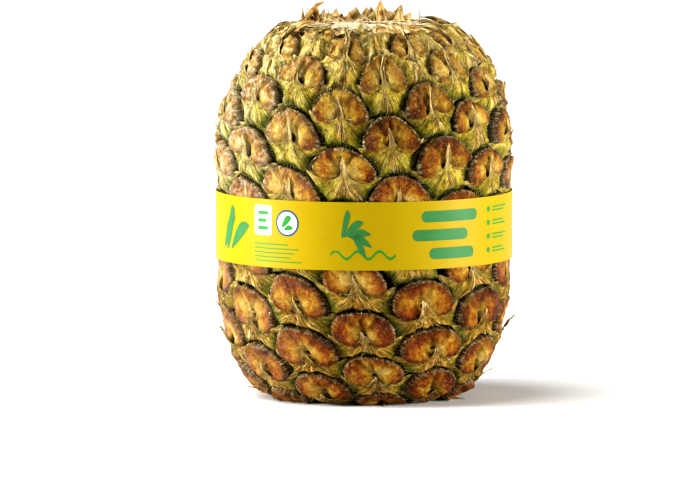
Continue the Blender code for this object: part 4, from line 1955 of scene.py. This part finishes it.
@dataclass(frozen=True)
class DryBract:
    """Bracts dried to paper on the fruit.

    They are matt, with grey-tan fibres that fan from the spine over yellow-green flanks and a dark green
    foot, partly their own green and partly painted shade where they dip. Pale flecks are painted
    highlights. Low ones are tan, high ones pale, and one side is paler, partly bleached by light and
    partly painted side light.
    """

    roughness: float = 0.45
    gloss: float = 0.07
    contrast: float = 0.2
    patterns_mm: tuple[float, ...] = (6.0, 4.0, 1.0, 0.9)
    grey_stops: Stops = ((0.25, "#4a3005"), (0.42, "#8e6a1e"), (0.55, "#b8944a"), (0.72, "#e4d09c"))
    living_stops: Stops = ((0.28, "#504403"), (0.42, "#908012"), (0.54, "#c2aa34"), (0.70, "#e8d47c"))
    tan_stops: Stops = ((0.25, "#4a2c04"), (0.45, "#946414"), (0.58, "#c09034"), (0.75, "#e8cc8c"))
    aged_stops: Stops = ((0.3, "#947026"), (0.5, "#dcc064"), (0.7, "#fff6d2"))
    # Partly bleaching and partly painted side light on the fruit's left.
    cream_stops: Stops = ((0.33, "#4c4610"), (0.5, "#bab47a"), (0.66, "#faf8e6"))
    spine_stops: Stops = ((0.3, "#94703a"), (0.5, "#cba96a"), (0.7, "#e6d2a2"))
    # Partly the foot's own dark green and partly painted shade where the flanks and foot dip.
    flank_shade_green: str = "#41590a"
    lip: str = "#d9c88e"
    stain: str = "#3c2603"
    thread: str = "#ddd5b2"
    # Painted highlight on pale flecks at the bump peaks.
    highlight_fleck: str = "#dcd6b4"

    def material(self) -> Material:
        """Builds the finish from the bract's own marks and noise as wide as blotches, patches and flecks, the
        flecks painted highlights.

        Returns:
            The material.
        """
        made, node = start_finish("papery_bract", self.roughness, self.gloss)
        fan, eye, climb, spine, lip, flank, green, brown, aged, faded = (
            node("ShaderNodeAttribute", attribute_name=name, output="Fac")
            for name in ("fan", "eye", "climb", "spine", "lip", "flank", "green", "brown", "aged", "faded"))
        place = node("ShaderNodeTexCoord", output="Object")
        blotch, patch, speck, highlight_fleck = (
            node("ShaderNodeTexNoise", {
                "Vector": place, "Scale": 1 / (size * MM), "Detail": 3.0, "Roughness": 0.6})
            for size in self.patterns_mm)
        # Fibres and single threads fan out from the spine's root, drawn a little coarser than real.
        lay = node("ShaderNodeCombineXYZ", (fan, climb, eye))
        fibre, thread = (
            node("ShaderNodeTexNoise", {
                "Vector": node("ShaderNodeVectorMath", (lay, scale), operation="MULTIPLY"), "Scale": 1.0,
                "Detail": detail, "Roughness": 0.6})
            for scale, detail in (((34.0, 2.2, 91.0), 3.0), ((62.0, 3.0, 47.0), 1.0)))
        both = node("ShaderNodeMath", (blotch, 0.5), operation="MULTIPLY")
        both = node("ShaderNodeMath", (fibre, 0.5, both), operation="MULTIPLY_ADD")
        grey, living, tan, aging, cream, pale = (
            node("ShaderNodeValToRGB", (tone,), stops=stops) for tone, stops in (
                (fibre, self.grey_stops), (both, self.living_stops), (fibre, self.tan_stops),
                (fibre, self.aged_stops), (fibre, self.cream_stops), (fibre, self.spine_stops)))
        side = node("ShaderNodeMath", (fan,), operation="ABSOLUTE")
        for part, weight in ((blotch, 0.45), (eye, 0.16)):
            side = node("ShaderNodeMath", (part, weight, side), operation="MULTIPLY_ADD")
        # Painted shade on the flanks and foot, mixed with their own dark green.
        flank_shade_cover = node("ShaderNodeMapRange", (blotch, 0.36, 0.56, 0.5, 0.95))
        stained = node("ShaderNodeMapRange", (spine, 0.0, 1.0, 0.5, 0.0))
        near = node("ShaderNodeMapRange", (side, 0.365, 0.555, 0.6, 0.1))
        # Painted light here: paler cream on the lit side, dark green painted shade on the flanks and foot,
        # pale flecks as painted highlights.
        base = layered(node, grey, (
            (brown, 0.75, tan),
            (side, 0.34, 0.425, green, living),
            (spine, 0.8, pale),
            (aged, 0.6, aging),
            (faded, 0.6, cream),
            (flank, flank_shade_cover, self.flank_shade_green),
            (lip, 0.6, self.lip),
            (patch, 0.60, 0.40, stained, self.stain),
            (thread, 0.60, 0.70, near, self.thread),
            (highlight_fleck, 0.60, 0.70, 0.4, self.highlight_fleck)), speck, self.contrast)
        grain = node("ShaderNodeMath", (thread, 0.7, highlight_fleck), operation="MULTIPLY_ADD")
        grain = node("ShaderNodeMath", (fibre, 1.4, grain), operation="MULTIPLY_ADD")
        return end_finish(made, base, grain, 0.9, 1.0)


@dataclass(frozen=True)
class DryFibre:
    """Dead plant fibre, torn or sawn: matt, and uneven in tone from end to end."""

    name: str
    stops: Stops
    roughness: float = 0.75
    gloss: float = 0.25
    grain_mm: float = 1.6

    def material(self) -> Material:
        """Builds the finish from noise as wide as a bundle of fibres.

        Returns:
            The material.
        """
        made, node = start_finish(self.name, self.roughness, self.gloss)
        grain = node("ShaderNodeTexNoise", {
            "Vector": node("ShaderNodeTexCoord", output="Object"), "Scale": 1 / (self.grain_mm * MM),
            "Detail": 4.0, "Roughness": 0.6})
        tone = node("ShaderNodeValToRGB", (grain,), stops=self.stops)
        return end_finish(made, tone, grain, 0.6, 0.4)


@dataclass(frozen=True)
class DriedLeaf:
    """Crown leaf dried to a husk: tan and brown, some olive, streaked along its length, with a dull sheen."""

    roughness: float = 0.5
    gloss: float = 0.25
    blotch_mm: float = 3.5
    golden_stops: Stops = ((0.22, "#402810"), (0.36, "#845c2a"), (0.48, "#bc9654"), (0.60, "#e2c88e"),
                           (0.74, "#fcf2d6"))
    olive_stops: Stops = ((0.22, "#3a3010"), (0.38, "#6e6024"), (0.52, "#a6944c"), (0.70, "#dccc94"))

    def material(self) -> Material:
        """Builds the finish from streaks along each leaf and noise as wide as its blotches.

        Returns:
            The material.
        """
        made, node = start_finish("dried_leaf", self.roughness, self.gloss)
        place = node("ShaderNodeTexCoord", output="Object")
        plan = node("ShaderNodeAttribute", attribute_name="plan", output="Vector")
        leaf = node("ShaderNodeAttribute", attribute_name="eye", output="Fac")
        step = node("ShaderNodeCombineXYZ", (leaf, leaf, leaf))
        apart = node("ShaderNodeVectorMath", (step, (0.0, 0.0, 63.0)), operation="MULTIPLY")
        along = node("ShaderNodeVectorMath", (plan, (3.6, 1.2, 1.0), apart), operation="MULTIPLY_ADD")
        streak = node("ShaderNodeTexNoise", {"Vector": along, "Scale": 1.0, "Detail": 5.0, "Roughness": 0.6})
        blotch = node("ShaderNodeTexNoise", {"Vector": place, "Scale": 1 / (self.blotch_mm * MM)})
        tone = node("ShaderNodeMath", (blotch, 0.8, -0.4), operation="MULTIPLY_ADD")
        tone = node("ShaderNodeMath", (streak, tone), operation="ADD")
        golden, olive = (node("ShaderNodeValToRGB", (tone,), stops=stops)
                         for stops in (self.golden_stops, self.olive_stops))
        kind = node("ShaderNodeTexNoise", {"Vector": step, "Scale": 9.0, "Detail": 0.0})
        share = node("ShaderNodeMapRange", (kind, 0.55, 0.60))
        base = node("ShaderNodeMix", {0: share, 6: golden, 7: olive}, data_type="RGBA")
        return end_finish(made, base, tone, 0.8, 0.6)


@dataclass(frozen=True)
class CoatedPaper:
    """Coated paper, or ink printed on it: smooth and faintly mottled, with a soft sheen.

    Its tooth is drawn some ten times as coarse as real, so that it shows.
    """

    name: str
    colour: str
    shade: str
    roughness: float = 0.42
    gloss: float = 0.12
    mottle_mm: float = 9.0
    tooth_mm: float = 0.5

    def material(self) -> Material:
        """Builds the finish from cloudy noise and the paper's fine tooth.

        Returns:
            The material.
        """
        made, node = start_finish(self.name, self.roughness, self.gloss)
        place = node("ShaderNodeTexCoord", output="Object")
        mottle, tooth = (node("ShaderNodeTexNoise", {"Vector": place, "Scale": 1 / (size * MM)})
                         for size in (self.mottle_mm, self.tooth_mm))
        base = node("ShaderNodeMix", {0: mottle, 6: linear(self.colour), 7: linear(self.shade)},
                    data_type="RGBA")
        return end_finish(made, base, tooth, 0.12, 0.1)


@dataclass
class Studio:
    """A pale floor, a white room and soft light from both sides, seen through a long lens."""

    distance: float = 3.4
    elevation: float = math.radians(5.45)
    view_width: float = 0.290
    aim: tuple[float, float, float] = (-0.0058, 0.0, 0.0646)
    sensor: float = 36.0
    floor_reach: float = 3.0
    floor_colours: tuple[str, str] = ("#f2f2f1", "#f0f0ef")
    room_light: float = 0.12
    overhead: float = 2.9
    overhead_spread: float = math.radians(48.0)
    overhead_way: tuple[float, float, float] = (0.52, 0.10, -1.0)
    softbox_size: tuple[float, float] = (0.3, 0.4)
    softboxes: tuple[tuple[str, tuple[float, float, float], float], ...] = (
        ("left_softbox", (-0.97, -0.18, 0.24), 14.0), ("right_softbox", (0.97, -0.22, 0.22), 12.5))
    lit_level: float = 0.08

    def floor(self) -> None:
        """Lays the floor, of painted board."""
        made, node = start_finish("studio_floor", 0.8, 0.5)
        place = node("ShaderNodeTexCoord", output="Object")
        mottle = node("ShaderNodeTexNoise", {"Vector": place, "Scale": 6.0})
        pale, shade = (linear(colour) for colour in self.floor_colours)
        base = node("ShaderNodeMix", {0: mottle, 6: pale, 7: shade}, data_type="RGBA")
        end_finish(made, base, mottle, 0.0, 0.1)
        corners = np.array([(-1, -1, 0), (1, -1, 0), (1, 1, 0), (-1, 1, 0)]) * self.floor_reach
        make_object("studio_floor", corners, [(0, 1, 2, 3)], unit=1.0, material=made)

    def room(self) -> None:
        """Makes the room a plain white that fills shadows."""
        world = bpy.data.worlds.new("white_room")
        world.use_nodes = True
        sky = world.node_tree.nodes["Background"]
        sky.inputs["Color"].default_value = (1.0, 1.0, 1.0, 1.0)
        sky.inputs["Strength"].default_value = self.room_light
        bpy.context.scene.world = world
        bpy.context.scene.view_settings.view_transform = "Standard"
        bpy.context.scene.view_settings.look = "High Contrast"

    def softbox(self, name: str, place: tuple[float, float, float], power: float) -> None:
        """Adds one softbox that looks at the fruit's middle.

        Args:
            name: The light's name.
            place: Where it stands.
            power: Its power in watts.
        """
        data = bpy.data.lights.new(name, "AREA")
        data.shape = "RECTANGLE"
        data.size, data.size_y = self.softbox_size
        data.energy = power
        way = Vector((0.0, 0.0, self.lit_level)) - Vector(place)
        self._stand(name, data, Vector(place), way)

    def sun(self) -> None:
        """Adds a broad light from high on the left that whitens the floor."""
        data = bpy.data.lights.new("overhead_light", "SUN")
        data.energy = self.overhead
        data.angle = self.overhead_spread
        self._stand("overhead_light", data, Vector(), Vector(self.overhead_way))

    def camera(self) -> None:
        """Sets the camera level with the photographer's, on the fruit's front."""
        data = bpy.data.cameras.new("camera")
        data.sensor_width = self.sensor
        data.lens = self.sensor * self.distance / self.view_width
        data.clip_end = 20.0
        back = Vector((0.0, -math.cos(self.elevation), math.sin(self.elevation))) * self.distance
        bpy.context.scene.camera = self._stand("camera", data, Vector(self.aim) + back, -back)

    @staticmethod
    def _stand(name: str, data: Any, place: Vector, way: Vector) -> Object:
        """Stands a light or the camera in the scene.

        Args:
            name: The object's name.
            data: The light or camera.
            place: Where it stands.
            way: Where it looks.

        Returns:
            The object.
        """
        item = bpy.data.objects.new(name, data)
        item.location = place
        item.rotation_euler = way.to_track_quat("-Z", "Y").to_euler()
        bpy.context.scene.collection.objects.link(item)
        return item

    def build(self) -> None:
        """Makes the studio."""
        self.floor()
        self.room()
        self.sun()
        for name, place, power in self.softboxes:
            self.softbox(name, place, power)
        self.camera()


def main() -> None:
    """Builds the studio, the fruit and its band."""
    logging.basicConfig(level=logging.INFO, format="%(message)s")
    Studio().build()
    spiral = EyeSpiral(EyeLattice())
    hair = HairTree()
    Rind(spiral).build(EyeSkin().material())
    Bracts(spiral).build(DryBract().material())
    teeth, bristle, torn, wood = (
        DryFibre(name, tuple(zip((0.32, 0.5, 0.66), colours))).material() for name, colours in (
            ("pale_dome_teeth", ("#4c3a14", "#94794a", "#dccb9c")),
            ("bract_bristle", ("#6f6c20", "#a89c44", "#e0d49c")),
            ("torn_crown_fibre", ("#b89c6c", "#ecdcb4", "#fffaea")),
            ("cut_stem_wood", ("#8a7444", "#b49c68", "#d4c090"))))
    Fringe(spiral, hair).build(teeth, bristle)
    CrownRemains().build(hair, DriedLeaf().material(), torn)
    CutStem().build(wood)
    paper, *inks = (
        CoatedPaper(name, colour, shade).material() for name, colour, shade in (
            ("yellow_coated_paper", "#a38d00", "#9e8800"), ("dark_green_ink", "#396f3e", "#407744"),
            ("green_ink", "#2b7c30", "#348438"), ("white_ink", "#f2f4ee", "#e9ece6"),
            ("navy_ink", "#23456e", "#2a4d78")))
    PaperBand().build(paper, dict(zip(Ink, inks)))


if __name__ == "__main__":
    main()
